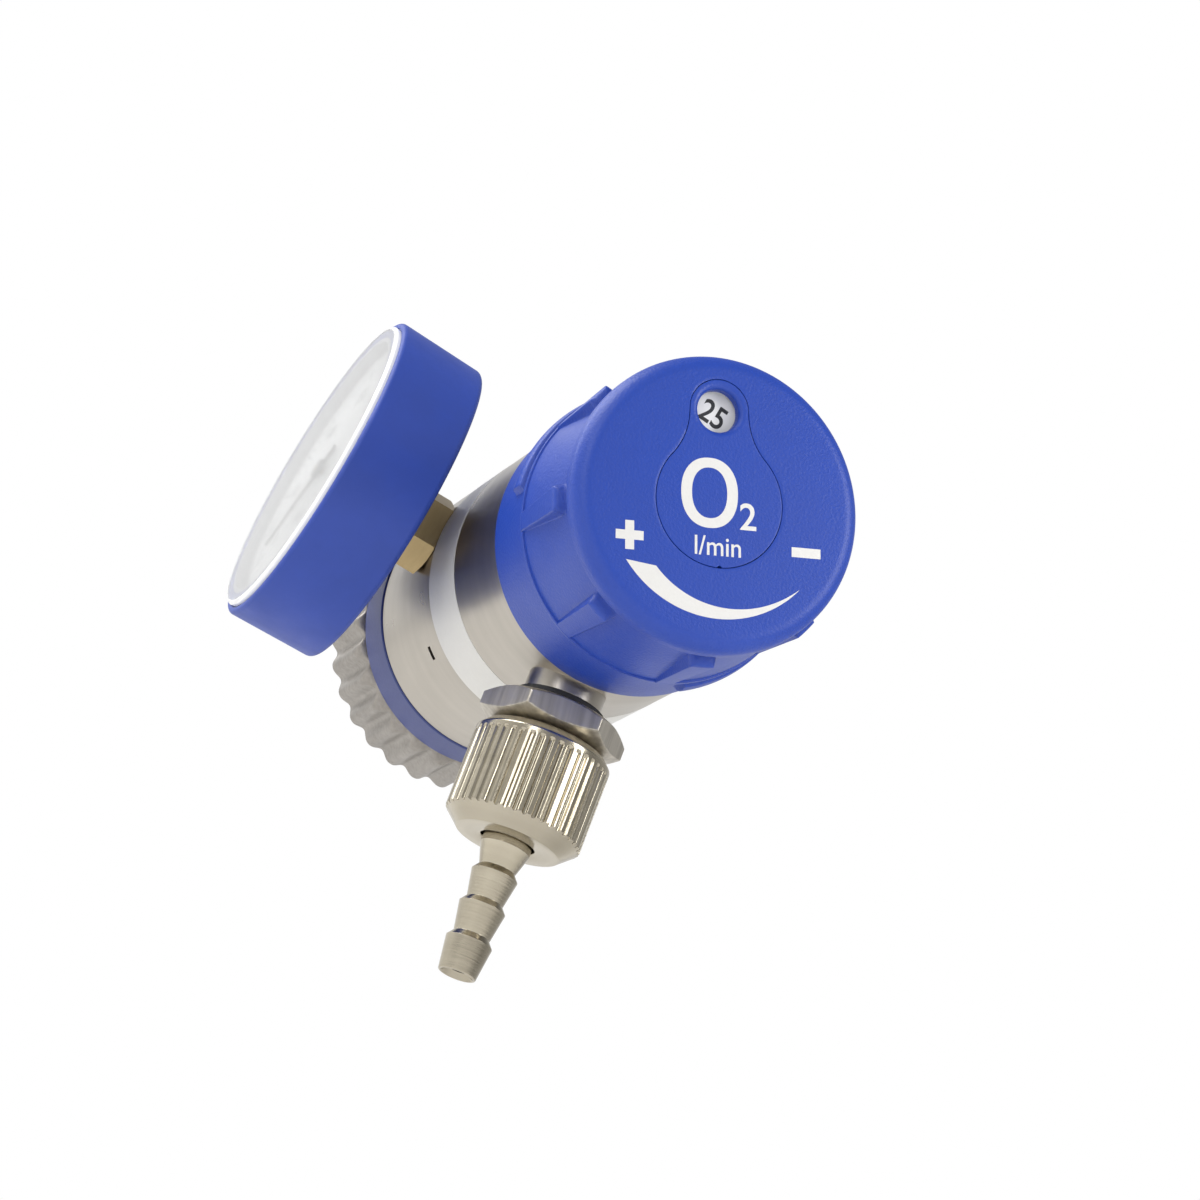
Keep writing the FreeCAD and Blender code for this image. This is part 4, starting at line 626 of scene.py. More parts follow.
def knob_mesh():
    """The knob as one closed grid: rows go out over the face, round the edge, along the ribbed wall,
    in under the flange, along the cavity and the hub, and back up the screw hole to the plate's seat."""
    half_pitch = 180.0 / RIBS
    across = places(-half_pitch, (-RIB_FINE, 9), (RIB_FINE, 60), (half_pitch, 9))
    angles = repeated(KNOB_TURN, RIBS, across)
    wall = rounded([(KNOB_CAVITY_R - 0.6, 0, 0), (KNOB_R, 0, KNOB_EDGE), (KNOB_R, KNOB_LIP, 0.25),
                    (KNOB_WALL_R, KNOB_WALL_FRONT, 0.35), (KNOB_R, FLANGE_FRONT, 0.12),
                    (FLANGE_R, FLANGE_FRONT, 0.12), (FLANGE_R, KNOB_END, 0.2),
                    (KNOB_CAVITY_R, KNOB_END, 0.2), (KNOB_CAVITY_R, KNOB_FACE_THICK, 0.3),
                    (HUB_R, KNOB_FACE_THICK, 0.3), (HUB_R, HUB_END, 0.2), (SPINDLE_BORE_R, HUB_END, 0.2),
                    (SPINDLE_BORE_R, SPINDLE_SEAT, 0), (SCREW_HOLE_R, SPINDLE_SEAT, 0),
                    (SCREW_HOLE_R, SCREW_SEAT, 0), (SCREW_HEAD_HOLE_R, SCREW_SEAT, 0),
                    (SCREW_HEAD_HOLE_R, PLATE_THICK, 0)])
    wall = with_rows(wall, KNOB_CAVITY_R + 1, KNOB_ROWS, KNOB_LAST_ROWS)
    radius = rib_surface(wall[:, 0][:, None], wall[:, 1][:, None], angles[None, :])
    station = np.broadcast_to(wall[:, 1][:, None], radius.shape)
    seam = pear_radius(angles - math.radians(KNOB_TURN), PLATE_R + PLATE_GAP, PLATE_SMALL_R + PLATE_GAP,
                       PLATE_FLANK_R - PLATE_GAP)
    beyond_seam, seam_station = np.array(SEAM_ROWS).T[:, :, None]
    seam_radius = seam + beyond_seam
    seam_station = np.broadcast_to(seam_station, seam_radius.shape)
    points = main_axis(np.concatenate([seam_radius, radius]), np.concatenate([seam_station, station]),
                       angles[None, :])
    return grid_mesh("selector_knob_surface", points)


def window_cutter(profile):
    """Round closed shape about the window's middle, from (radius, station) corners."""
    angles = full_turn(96)
    radius = profile[:, 0][:, None]
    turn = math.radians(KNOB_TURN)
    x = radius * np.sin(angles) - WINDOW_DISTANCE * math.sin(turn)
    z = radius * np.cos(angles) + WINDOW_DISTANCE * math.cos(turn)
    y = np.broadcast_to(profile[:, 1][:, None] - WHEEL_MOUTH, x.shape)
    return grid_mesh("window_cutter", np.stack([x, y, z], axis=-1))


def cover_plate_mesh():
    """The plate as a closed grid: its outline shrunk to the middle on both sides, with a small
    round notch in the rim opposite the window."""
    angles = full_turn(480) + math.radians(KNOB_TURN)
    turn = angles - math.radians(KNOB_TURN)
    outline = pear_radius(turn, PLATE_R, PLATE_SMALL_R, PLATE_FLANK_R)
    beside = (turn - math.pi) * PLATE_R
    outline = outline - np.sqrt(np.maximum(NOTCH_R ** 2 - beside ** 2, 0))
    share, inset, station = np.array(PLATE_ROWS).T[:, :, None]
    points = main_axis(share * (outline - inset), station, angles)
    return grid_mesh("knob_cover_plate_surface", points)


def build_knob():
    knob = add_piece("selector_knob", knob_mesh(), "selector", "blue_plastic")
    hole = [(0, WINDOW_FRONT), (WINDOW_R, WINDOW_FRONT), (WINDOW_R, WINDOW_BACK), (0, WINDOW_BACK)]
    combine(knob, window_cutter(np.array(hole)))
    plate = add_piece("knob_cover_plate", cover_plate_mesh(), "selector", "blue_plastic", sharp=40)
    share = np.linspace(0, math.pi / 2, 9)
    funnel = np.stack([WINDOW_MOUTH_R - (WINDOW_MOUTH_R - WINDOW_R) * np.sin(share), 1 - np.cos(share)],
                      axis=-1)
    profile = np.concatenate([[(0, -1), (WINDOW_MOUTH_R, -1)], funnel, [(WINDOW_R, 2), (0, 2)]])
    combine(plate, window_cutter(profile))


# Collar
def lobe_surface(radius, station, angle):
    """Collar's wall with two raised arcs: each rises steeply at its front and back, is crowned
    between, and ends in a smooth slope."""
    middle = (LOBE_FRONT + LOBE_BACK) / 2
    reach = (LOBE_BACK - LOBE_FRONT) / 2
    height = LOBE_RISE * (1 - LOBE_CROWN * np.clip((station - middle) / reach, -1, 1) ** 2)
    height = height * ramp(station, LOBE_FRONT - 0.05, LOBE_FRONT + 0.4)
    height = height * (1 - ramp(station, LOBE_BACK - 0.4, LOBE_BACK + 0.05))
    share = 0
    for lobe in LOBE_MIDDLES:
        turn = np.abs((np.degrees(angle) - lobe + 180) % 360 - 180)
        share = share + 1 - ramp(turn, LOBE_HALF - LOBE_SLOPE, LOBE_HALF)
    outer = radius > COLLAR_R - 0.5
    return radius + np.where(outer, height * share, 0)


def build_collar():
    corners = [(SLEEVE_BORE_R, DIAL_BACK), (SLEEVE_R, DIAL_BACK), (SLEEVE_R, COLLAR_FRONT, 0.05),
               (COLLAR_R, COLLAR_FRONT, 0.35), (COLLAR_R, COLLAR_END, 0.4), (SPIGOT_HOLE_R, COLLAR_END),
               (SPIGOT_HOLE_R, COLLAR_WEB_BACK), (SLEEVE_BORE_R, COLLAR_WEB_BACK)]
    profile = with_rows(rounded(corners), COLLAR_R - TOUCH, COLLAR_ROWS, COLLAR_LAST_ROWS)
    add_turned("collar_ring", main_axis, profile, full_turn(720), "body", "blue_plastic", lobe_surface)


# Hand wheel, and the groove of its and the outlet's thread
def thread_groove(distance, angle, pitch):
    """Share of its depth, 0 to 1, of a helical groove with a flat floor and narrow flat crests."""
    turn = (distance / pitch - angle / (2 * math.pi)) % 1.0
    return np.clip((0.5 - np.abs(turn - 0.5)) * GROOVE_STEEPNESS - GROOVE_CREST, 0, 1)


def wheel_surface(radius, station, angle):
    """Hand wheel's wall and thread.

    Outside, the lesser of the turned shape and a ring of rounded lobes, with a soft corner between
    them. Inside, a helical groove with flat crests that runs out at both ends.
    """
    wave = 0.5 + 0.5 * np.cos(WHEEL_LOBES * angle)
    lobes = WHEEL_VALLEY_R + (WHEEL_TIP_R - WHEEL_VALLEY_R) * wave
    outer = smooth_least(radius + 0 * angle, lobes, WHEEL_BLEND)
    groove = thread_groove(station - THREAD_FRONT, angle, THREAD_PITCH)
    runout = ramp(station, THREAD_FRONT + 0.3, THREAD_FRONT + 1.5)
    runout = runout * (1 - ramp(station, WHEEL_MOUTH - 0.8, WHEEL_MOUTH - 0.2))
    inner = radius + THREAD_DEPTH * groove * runout
    in_thread = (station > THREAD_FRONT) & (radius < THREAD_R + 0.02)
    return np.where(radius > WHEEL_OUTSIDE_R, outer, np.where(in_thread, inner, radius))


def build_handwheel():
    corners = [(WHEEL_BORE_R, WHEEL_FRONT, 0.3), (WHEEL_TIP_R, WHEEL_FRONT, WHEEL_SHOULDER),
               (WHEEL_TIP_R, WHEEL_MOUTH, WHEEL_MOUTH_ROUND),
               (THREAD_R + THREAD_CHAMFER, WHEEL_MOUTH, 0.05),
               (THREAD_R, WHEEL_MOUTH - THREAD_CHAMFER, 0.05), (THREAD_R, THREAD_FRONT, 0),
               (THREAD_RELIEF_R, THREAD_FRONT - 0.54, 0), (THREAD_RELIEF_R, WHEEL_WALL_BACK, 0.2),
               (WHEEL_BORE_R, WHEEL_WALL_BACK, 0.1)]

    def shares(start, end):
        """Fine rows on the thread, coarser ones outside and none elsewhere."""
        if max(abs(start[0] - THREAD_R), abs(end[0] - THREAD_R)) < TOUCH:
            return even_shares(start, end, WHEEL_THREAD_STEP)
        if min(start[0], end[0]) > WHEEL_OUTSIDE_R:
            return even_shares(start, end, WHEEL_STEP)
        return WHOLE

    profile = divided(rounded(corners), shares)
    add_turned("handwheel", main_axis, profile, full_turn(WHEEL_LOBES * 18), "wheel", "cast_wheel",
               wheel_surface, 50)


# Body
def build_body():
    """The body as a turned shape with a narrow neck above the outlet, and with the holes for the
    outlet's spigot, the gauge and the vent."""
    seat_edge = LABEL_SEAT_EDGE
    corners = [(BLOCK_BORE_R, BODY_FRONT, 0.2), (SPIGOT_R, BODY_FRONT, 0.2), (SPIGOT_R, COLLAR_END, 0.1),
               (BODY_R, COLLAR_END, BODY_EDGE), (BODY_R, LABEL_FRONT, seat_edge),
               (LABEL_SEAT_R, LABEL_FRONT, seat_edge), (LABEL_SEAT_R, LABEL_BACK, seat_edge),
               (BODY_R, LABEL_BACK, seat_edge), (BODY_R, RING_FRONT, BODY_EDGE),
               (RING_SEAT_R, RING_FRONT, 0.1), (RING_SEAT_R, RING_BACK, 0.2), (STEM_BORE_R, RING_BACK, 0.2),
               (STEM_BORE_R, GUIDE_END, 0), (GUIDE_R, GUIDE_END, 0), (GUIDE_R, CHAMBER_END, 0),
               (CHAMBER_R, CHAMBER_END, 0), (CHAMBER_R, BLOCK_BACK, 0), (BLOCK_BORE_R, BLOCK_BACK, 0)]
    body = add_turned("body_shell", main_axis, rounded(corners), full_turn(360), "body", "nickel_brass")
    neck = [(NECK_ROOT_R, NECK_TOP, 0), (NECK_R, NECK_TOP, 0), (NECK_R, NECK_END, 0.3),
            (NECK_ROOT_R, NECK_END, 0.1)]
    combine(body, turned_mesh("neck", outlet_axis, rounded(neck), full_turn(120)), "UNION")
    hole = [(0, HOLE_TOP), (NECK_ROOT_R, HOLE_TOP), (NECK_ROOT_R, NECK_END + 1), (0, NECK_END + 1)]
    combine(body, turned_mesh("hole", outlet_axis, np.array(hole), full_turn(120)))
    port = [(0, PORT_FLOOR), (PORT_R, PORT_FLOOR), (PORT_R, PORT_SPOT), (PORT_SPOT_R, PORT_SPOT),
            (PORT_SPOT_R, BODY_R + 2), (0, BODY_R + 2)]
    combine(body, turned_mesh("port", gauge_axis, np.array(port), full_turn(96)))
    x, up, station = np.meshgrid([-VENT_LENGTH / 2, VENT_LENGTH / 2], [CHAMBER_R - 1, BODY_R + 1],
                                 [VENT_STATION - VENT_WIDTH / 2, VENT_STATION + VENT_WIDTH / 2],
                                 indexing="ij")
    box = turned_face(x.ravel(), up.ravel(), station.ravel(), VENT_TURN)
    sides = [[0, 1, 3, 2], [4, 6, 7, 5], [0, 4, 5, 1], [2, 3, 7, 6], [0, 2, 6, 4], [1, 5, 7, 3]]
    combine(body, make_mesh("slot", box, np.array(sides)))
    # A black seal ring under the outlet; its black also stands for the dark line of shade and reflection
    # between the neck and the hexagon, partly painted shade
    gasket = [(NECK_ROOT_R, NECK_END, 0.1), (GASKET_R, NECK_END, 0.4), (GASKET_R, GASKET_END, 0.4),
              (NECK_ROOT_R, GASKET_END, 0.1)]
    add_turned("outlet_gasket", outlet_axis, rounded(gasket), full_turn(120), "body", "seal_rubber")


# Outlet: adapter, union nut and hose tail
def hexagon_surface(radius, depth, angle):
    """Adapter's wall: the lesser of the turned shape and a hexagon's radius, with the corner between
    them a little rounded. The hexagon's radius is half its width over the cosine from a flat's middle."""
    turn = (angle - math.radians(HEX_TURN + 30) + math.pi / 6) % (math.pi / 3) - math.pi / 6
    flat = HEX_ACROSS / 2 / np.cos(turn)
    flat = smooth_least(flat, HEX_CORNER_R - HEX_CORNER_CUT + 0 * flat, HEX_CORNER_BLEND)
    in_hex = (depth > HEX_TOP - TOUCH) & (depth < HEX_END - 0.05) & (radius > HEX_FOOT_R - 0.5)
    return np.where(in_hex, smooth_least(radius + 0 * angle, flat, HEX_BLEND), radius)


def adapter_surface(radius, depth, angle):
    """Hexagon above, and below it a helical groove cut into the outlet's thread."""
    groove = OUTLET_THREAD_DEPTH * thread_groove(depth - HEX_END, angle, OUTLET_THREAD_PITCH)
    groove = groove * ramp(depth, HEX_END + 1.6, HEX_END + 2.2)
    groove = groove * (1 - ramp(depth, OUTLET_THREAD_END - 0.7, OUTLET_THREAD_END - 0.3))
    threaded = (radius > OUTLET_THREAD_R - 0.02) & (depth > HEX_END + 1)
    return np.where(threaded, radius - groove, hexagon_surface(radius, depth, angle))


def build_adapter():
    hex_r = HEX_CORNER_R + 0.1
    corners = [(OUTLET_BORE_R, PLUG_TOP), (PLUG_R, PLUG_TOP, 0.3), (PLUG_R, GASKET_END, 0),
               (NECK_R, GASKET_END, 0), (NECK_R, HEX_TOP, 0), (HEX_TOP_R, HEX_TOP, 0),
               (hex_r, HEX_TOP + HEX_TOP_BEVEL, 0), (hex_r, HEX_TOP + HEX_FLAT_HEIGHT, 0),
               (HEX_FOOT_R, HEX_END, 0.15), (OUTLET_THREAD_R, HEX_END, 0.1),
               (OUTLET_THREAD_R, OUTLET_THREAD_END, 0.5), (SEAL_SEAT_R, OUTLET_THREAD_END),
               (SEAL_SEAT_R, SEAL_SEAT_TOP, 0), (OUTLET_BORE_R, SEAL_SEAT_TOP)]

    def shares(start, end):
        """Fine rows on the hexagon, finer ones on the thread and none elsewhere."""
        if min(start[0], end[0]) > HEX_FOOT_R - 0.1:
            return even_shares(start, end, HEX_STEP)
        if abs(start[0] - OUTLET_THREAD_R) < TOUCH and is_long(start, end):
            return even_shares(start, end, OUTLET_THREAD_STEP)
        return WHOLE

    angles = repeated(HEX_TURN + 30, 6, places(-30, (-27, 12), (27, 36), (30, 12)))
    add_turned("outlet_adapter", outlet_axis, divided(rounded(corners, soft=0.06), shares), angles, "body",
               "nickel_brass", adapter_surface, 24, "nickel_milled")


def flute_surface(radius, depth, angle):
    """Union nut's wall: along each pitch a slightly crowned ridge, a slope, a flat groove and a slope
    back, which fade out under the plain top. The turned shape cuts them at the foot."""
    share = (angle * NUT_FLUTES / (2 * math.pi)) % 1.0
    groove = ramp(share, NUT_RIDGE, NUT_FLOOR_START) * (1 - ramp(share, NUT_FLOOR_END, 1.0))
    crown = NUT_CROWN * np.clip(share / NUT_RIDGE * 2 - 1, -1, 1) ** 2 * (share < NUT_RIDGE)
    below = ramp(depth, NUT_TOP + NUT_PLAIN - 0.25, NUT_TOP + NUT_PLAIN + 0.35)
    fluted = NUT_R - (NUT_FLUTE_DEPTH * groove + crown) * below
    outer = radius > NUT_BORE_R + 0.3
    return np.where(outer, smooth_least(radius + 0 * angle, fluted, 0.06), radius)


def build_nut():
    wall_end = NUT_END - NUT_FOOT_BEVEL
    corners = [(NUT_BORE_R, NUT_TOP), (NUT_R - NUT_TOP_BEVEL, NUT_TOP, 0.25),
               (NUT_R, NUT_TOP + NUT_TOP_BEVEL, 0.6), (NUT_R, wall_end, 0), (NUT_FOOT_R, NUT_END, 0.15),
               (NUT_HOLE_R, NUT_END, 0.3), (NUT_HOLE_R, NUT_FLOOR, 0), (NUT_BORE_R, NUT_FLOOR, 0)]

    def shares(start, end):
        """Rows for the flutes' ends along the wall, and fine ones at the foot."""
        if min(start[0], end[0]) <= NUT_BORE_R + 0.3:
            return WHOLE
        if is_long(start, end):
            return zone_shares(start, end, [(NUT_TOP + 3.2, 14), (wall_end - 0.6, 12)], 3)
        at_foot = start[1] > NUT_END - 3
        return even_shares(start, end, NUT_FOOT_STEP, NUT_FOOT_ROWS) if at_foot else WHOLE

    profile = divided(rounded(corners), shares)
    add_turned("union_nut", outlet_axis, profile, full_turn(NUT_FLUTES * 20), "nut", "nickel_brass",
               flute_surface, 38, "nickel_outlet")


def build_tail():
    corners = [(TAIL_BORE_R, TAIL_TOP, 0.3), (TAIL_HEAD_R, TAIL_TOP, 0.4), (TAIL_HEAD_R, TAIL_HEAD_END),
               (TAIL_SHANK_R, TAIL_HEAD_END, 0), (TAIL_SHANK_R, TAIL_SHANK_END, 0.4)]
    for edge in BARB_EDGES:
        corners += [(BARB_WAIST_R, edge - BARB_BACK, 0.08), (BARB_R, edge, 0.05)]
    corners += [(TIP_R, TIP_END, 0.25), (TIP_MOUTH_R, TIP_END, 0.1), (TAIL_BORE_R, TIP_END - TIP_BEVEL, 0.1)]
    add_turned("hose_tail", outlet_axis, rounded(corners), full_turn(192), "tail", "nickel_brass",
               finish="nickel_outlet")


# Gauge
def build_gauge():
    seat_r = LENS_R + 0.1
    seat_back = LENS_BACK - 0.05
    boot = [(BOOT_HOLE_R, BOOT_BACK, 0.3), (BOOT_BACK_R, BOOT_BACK, 1.2), (BOOT_R, BOOT_LIP, 0.8),
            (seat_r, BOOT_LIP, 0.15), (seat_r, seat_back, 0), (BOOT_CASE_R, seat_back, 0.1),
            (BOOT_CASE_R, BOOT_FLOOR_TOP, 0), (BOOT_HOLE_R, BOOT_FLOOR_TOP, 0.3)]
    add_turned("gauge_boot", gauge_axis, rounded(boot), full_turn(360), "body", "blue_rubber")
    lens = [(0, LENS_BACK, 0), (LENS_R, LENS_BACK, 0.1), (LENS_R, GAUGE_FRONT - 0.5, 0.1),
            (LENS_R - 0.5, GAUGE_FRONT, 0.15), (0, GAUGE_FRONT, 0)]
    add_turned("gauge_lens", gauge_axis, rounded(lens), full_turn(240), "body", "clear_plastic")


# Printed marks
def flat_marks(name, shapes, place, body, finish):
    """Thin closed mesh from flat shapes, each of them points (x, up) and the faces between them."""
    points = []
    faces = []
    start = 0
    for flat, flat_faces in shapes:
        count = len(flat)
        points += [np.c_[flat, np.zeros(count)], np.c_[flat, np.full(count, -MARK_THICK)]]
        rims = {}
        for face in flat_faces:
            for a, b in zip(face, face[1:] + face[:1]):
                rims[(a, b)] = (b, a) not in rims and not rims.pop((b, a), False)
        faces += [[start + v for v in reversed(face)] for face in flat_faces]
        faces += [[start + count + v for v in face] for face in flat_faces]
        faces += [[start + a, start + b, start + count + b, start + count + a]
                  for (a, b), rim in rims.items() if rim]
        start += 2 * count
    mesh = bpy.data.meshes.new(name)
    mesh.from_pydata(place(*np.concatenate(points).T) * MM, [], faces)
    return add_riding(name, turned_outwards(mesh), body, finish)


def lettering(text, size, x, up, weight=0.01, stretch=1.0):
    """Flat points and faces of a line of text with its middle at (x, up), its strokes made bolder."""
    curve = bpy.data.curves.new("lettering", "FONT")
    curve.body = text
    curve.size = size
    curve.align_x = "CENTER"
    curve.align_y = "CENTER"
    curve.resolution_u = 6
    curve.offset = weight * size
    holder = link_new("lettering", curve)
    mesh = evaluated_mesh(holder)
    points = np.empty(len(mesh.vertices) * 3)
    mesh.vertices.foreach_get("co", points)
    points = points.reshape(-1, 3)[:, :2]
    middle = (points.min(axis=0) + points.max(axis=0)) / 2
    points = (points - middle) * np.array([stretch, 1.0]) + np.array([x, up])
    faces = [list(face.vertices) for face in mesh.polygons]
    bpy.data.objects.remove(holder)
    bpy.data.meshes.remove(mesh)
    return points, faces


def bar(x, up, width, height):
    corners = np.array([(-1, -1), (1, -1), (1, 1), (-1, 1)]) * (width / 2, height / 2)
    return corners + (x, up), [[0, 1, 2, 3]]


def strip(inner, outer):
    """Flat band between two rows of points."""
    count = len(inner)
    points = np.concatenate([inner, outer])
    return points, [[i, i + 1, count + i + 1, count + i] for i in range(count - 1)]


def oval(half_width, half_height):
    """Points round a slightly squarish oval: each direction's sine and cosine to a power under 1."""
    angle = np.linspace(0, 2 * math.pi, 97)
    across = np.sign(np.sin(angle)) * np.abs(np.sin(angle)) ** O_SQUARENESS
    along = np.sign(np.cos(angle)) * np.abs(np.cos(angle)) ** O_SQUARENESS
    return np.stack([half_width * across, half_height * along], axis=-1) + O_MIDDLE


def round_clock(radius, clock):
    """Points (x, up) at a radius and a clock angle in radians."""
    return np.stack([radius * np.sin(clock), radius * np.cos(clock)], axis=-1)


def on_knob(x, up, lift):
    """Places on the knob's face, in the frame of its printing, which turns with the knob."""
    return turned_face(x, up, lift, KNOB_TURN)


def on_number_disc(x, up, lift):
    return turned_face(x, up, DIAL_FRONT + lift, DIAL_TURN)


def on_gauge_dial(x, up, lift):
    """Places on the gauge's dial; the reader's right is towards the knob."""
    rise = math.radians(GAUGE_RISE)
    out = GAUGE_DIAL_TOP - lift
    return np.stack([up * math.sin(rise) - out * math.cos(rise), GAUGE_Y - x,
                     up * math.cos(rise) + out * math.sin(rise)], axis=-1)


def knob_marks():
    """The O with its small 2, the unit, a plus, a minus and a wedge that widens towards the plus."""
    marks = [strip(oval(*O_INNER), oval(*O_OUTER)), lettering("2", TWO_SIZE, *TWO_MIDDLE),
             lettering("l/min", UNIT_SIZE, *UNIT_MIDDLE, 0.006, 0.94),
             bar(PLUS_X, PLUS_UP, PLUS_LENGTH, PLUS_STROKE)]
    for side in (1, -1):
        middle = PLUS_UP + side * (PLUS_STROKE + PLUS_ARM) / 2
        marks.append(bar(PLUS_X, middle, PLUS_STROKE, PLUS_ARM))
    marks.append(bar(*MINUS))
    outer_clock = np.radians(np.linspace(WEDGE_OUTER_START, WEDGE_TIP, WEDGE_POINTS))
    inner_clock = np.radians(np.linspace(WEDGE_INNER_START, WEDGE_TIP, WEDGE_POINTS))
    inner_r = WEDGE_R - WEDGE_WIDTH * (1 - np.linspace(0, 1, WEDGE_POINTS)) ** 0.9
    marks.append(strip(round_clock(inner_r, inner_clock), round_clock(WEDGE_R, outer_clock)))
    return marks


def flow_numbers():
    marks = []
    for i, number in enumerate(FLOWS):
        middle = round_clock(WINDOW_DISTANCE, math.radians(30 * i))
        size = FLOW_SIZE if len(number) < 3 else LONG_FLOW_SIZE
        marks.append(lettering(number, size, *middle, 0.014, 0.88))
    return marks


def gauge_marks():
    """Ticks, numbers and the unit of the gauge's scale."""
    marks = []
    for i in range(SHORT_TICKS + 1):
        clock = math.radians(SCALE_START + SCALE_SWEEP / SHORT_TICKS * i)
        start_r, half = SHORT_TICK if i % LONG_TICK_EVERY else LONG_TICK
        along = round_clock(np.array([start_r, SCALE_END_R]), clock)
        across = round_clock(half, clock + math.pi / 2)
        marks.append((np.concatenate([along - across, (along + across)[::-1]]), [[0, 1, 2, 3]]))
    for i in range(SCALE_NUMBERS + 1):
        middle = round_clock(SCALE_NUMBER_R, math.radians(SCALE_START + SCALE_SWEEP / SCALE_NUMBERS * i))
        marks.append(lettering(str(SCALE_NUMBER_STEP * i), SCALE_NUMBER_SIZE, *middle))
    marks.append(lettering("bar", BAR_SIZE, 0, BAR_UP))
    return marks


def build_marks():
    flat_marks("knob_marks", knob_marks(), on_knob, "selector", "white_ink")
    flat_marks("flow_numbers", flow_numbers(), on_number_disc, "body", "dark_ink")
    flat_marks("gauge_scale", gauge_marks(), on_gauge_dial, "body", "dark_ink")


# Materials: parts that several finishes share
def add_node(tree, kind, **settings):
    node = tree.nodes.new(kind if kind.startswith("Node") else "ShaderNode" + kind)
    for name, value in settings.items():
        setattr(node, name, value)
    return node


def feed(tree, socket, source):
    """Give a socket a number, a colour or another node's output."""
    if isinstance(source, bpy.types.NodeSocket):
        tree.links.new(source, socket)
    else:
        socket.default_value = source


def new_group(name, numbers, outputs):
    """Node group with a Vector input, inputs for numbers and outputs of numbers."""
    group = bpy.data.node_groups.new(name, "ShaderNodeTree")
    group.interface.new_socket(name="Vector", in_out="INPUT", socket_type="NodeSocketVector")
    for label, value in numbers.items():
        socket = group.interface.new_socket(name=label, in_out="INPUT", socket_type="NodeSocketFloat")
        socket.default_value = value
    for label in outputs:
        group.interface.new_socket(name=label, in_out="OUTPUT", socket_type="NodeSocketFloat")
    return group, add_node(group, "NodeGroupInput"), add_node(group, "NodeGroupOutput")


def noise(tree, vector, scale, detail=2.0, rough=0.5):
    node = add_node(tree, "TexNoise")
    feed(tree, node.inputs["Vector"], vector)
    feed(tree, node.inputs["Scale"], scale)
    node.inputs["Detail"].default_value = detail
    node.inputs["Roughness"].default_value = rough
    return node.outputs["Fac"]


def calculate(tree, operation, a, b):
    node = add_node(tree, "Math", operation=operation)
    feed(tree, node.inputs[0], a)
    feed(tree, node.inputs[1], b)
    return node.outputs[0]


def spread(tree, value, low, high, to_low=0.0, to_high=1.0):
    """Carry a value from one range to another, and no further."""
    node = add_node(tree, "MapRange")
    feed(tree, node.inputs["Value"], value)
    for name, number in (("From Min", low), ("From Max", high), ("To Min", to_low), ("To Max", to_high)):
        node.inputs[name].default_value = number
    return node.outputs["Result"]


def mixture(tree, a, b, share):
    """Sum of two values, weighted with 1 less the share and with the share."""
    return calculate(tree, "ADD", calculate(tree, "MULTIPLY", a, 1 - share),
                     calculate(tree, "MULTIPLY", b, share))


def distance_from_axis(tree, vector):
    """Length of a vector without its Z."""
    flat = add_node(tree, "VectorMath", operation="MULTIPLY")
    feed(tree, flat.inputs[0], vector)
    flat.inputs[1].default_value = (1, 1, 0)
    length = add_node(tree, "VectorMath", operation="LENGTH")
    feed(tree, length.inputs[0], flat.outputs[0])
    return length.outputs["Value"]


def blend_colors(tree, share, a, b):
    """Colour a where the share is 0, b where it is 1, and between them elsewhere."""
    node = add_node(tree, "Mix", data_type="RGBA")
    feed(tree, node.inputs[0], share)
    node.inputs[6].default_value = (*a, 1)
    node.inputs[7].default_value = (*b, 1)
    return node.outputs[2]


def give(group, result, label, value, low, high):
    """Carry the range of a value that's in use to 0 to 1 and make it one of the group's outputs."""
    feed(group, result.inputs[label], spread(group, value, low, high))


def make_grain_group():
    """Moulded or cast skin: fine even grain as Height, and slow changes of gloss and shade as Drift."""
    group, source, result = new_group("skin grain", {"Grain Scale": 2600.0, "Drift Scale": 60.0},
                                      ("Height", "Drift"))
    vector = source.outputs["Vector"]
    fine = noise(group, vector, source.outputs["Grain Scale"], 3.0, 0.55)
    give(group, result, "Height", fine, 0.25, 0.75)
    slow = noise(group, vector, source.outputs["Drift Scale"], 3.0, 0.6)
    give(group, result, "Drift", slow, 0.3, 0.7)
    return group


def make_turning_group():
    """Marks of a turning tool: rings that change with the radius and along the axis, a little
    broken up round the piece. Vector has the piece's axis as its Z."""
    group, source, result = new_group("turning marks", {"Ring Scale": 3000.0}, ("Height", "Streak", "Drift"))
    vector = source.outputs["Vector"]
    scale = source.outputs["Ring Scale"]
    parts = add_node(group, "SeparateXYZ")
    feed(group, parts.inputs[0], vector)
    broken = noise(group, vector, 90.0, 2.0, 0.5)
    rings = add_node(group, "CombineXYZ")
    feed(group, rings.inputs[0], distance_from_axis(group, vector))
    feed(group, rings.inputs[1], parts.outputs[2])
    feed(group, rings.inputs[2], calculate(group, "MULTIPLY", broken, 0.0012))
    fine = noise(group, rings.outputs[0], scale, 4.0, 0.65)
    give(group, result, "Height", fine, 0.25, 0.75)
    wide = noise(group, rings.outputs[0], calculate(group, "MULTIPLY", scale, 0.18))
    give(group, result, "Streak", wide, 0.3, 0.7)
    slow = noise(group, vector, 55.0, 3.0, 0.6)
    give(group, result, "Drift", slow, 0.3, 0.7)
    return group


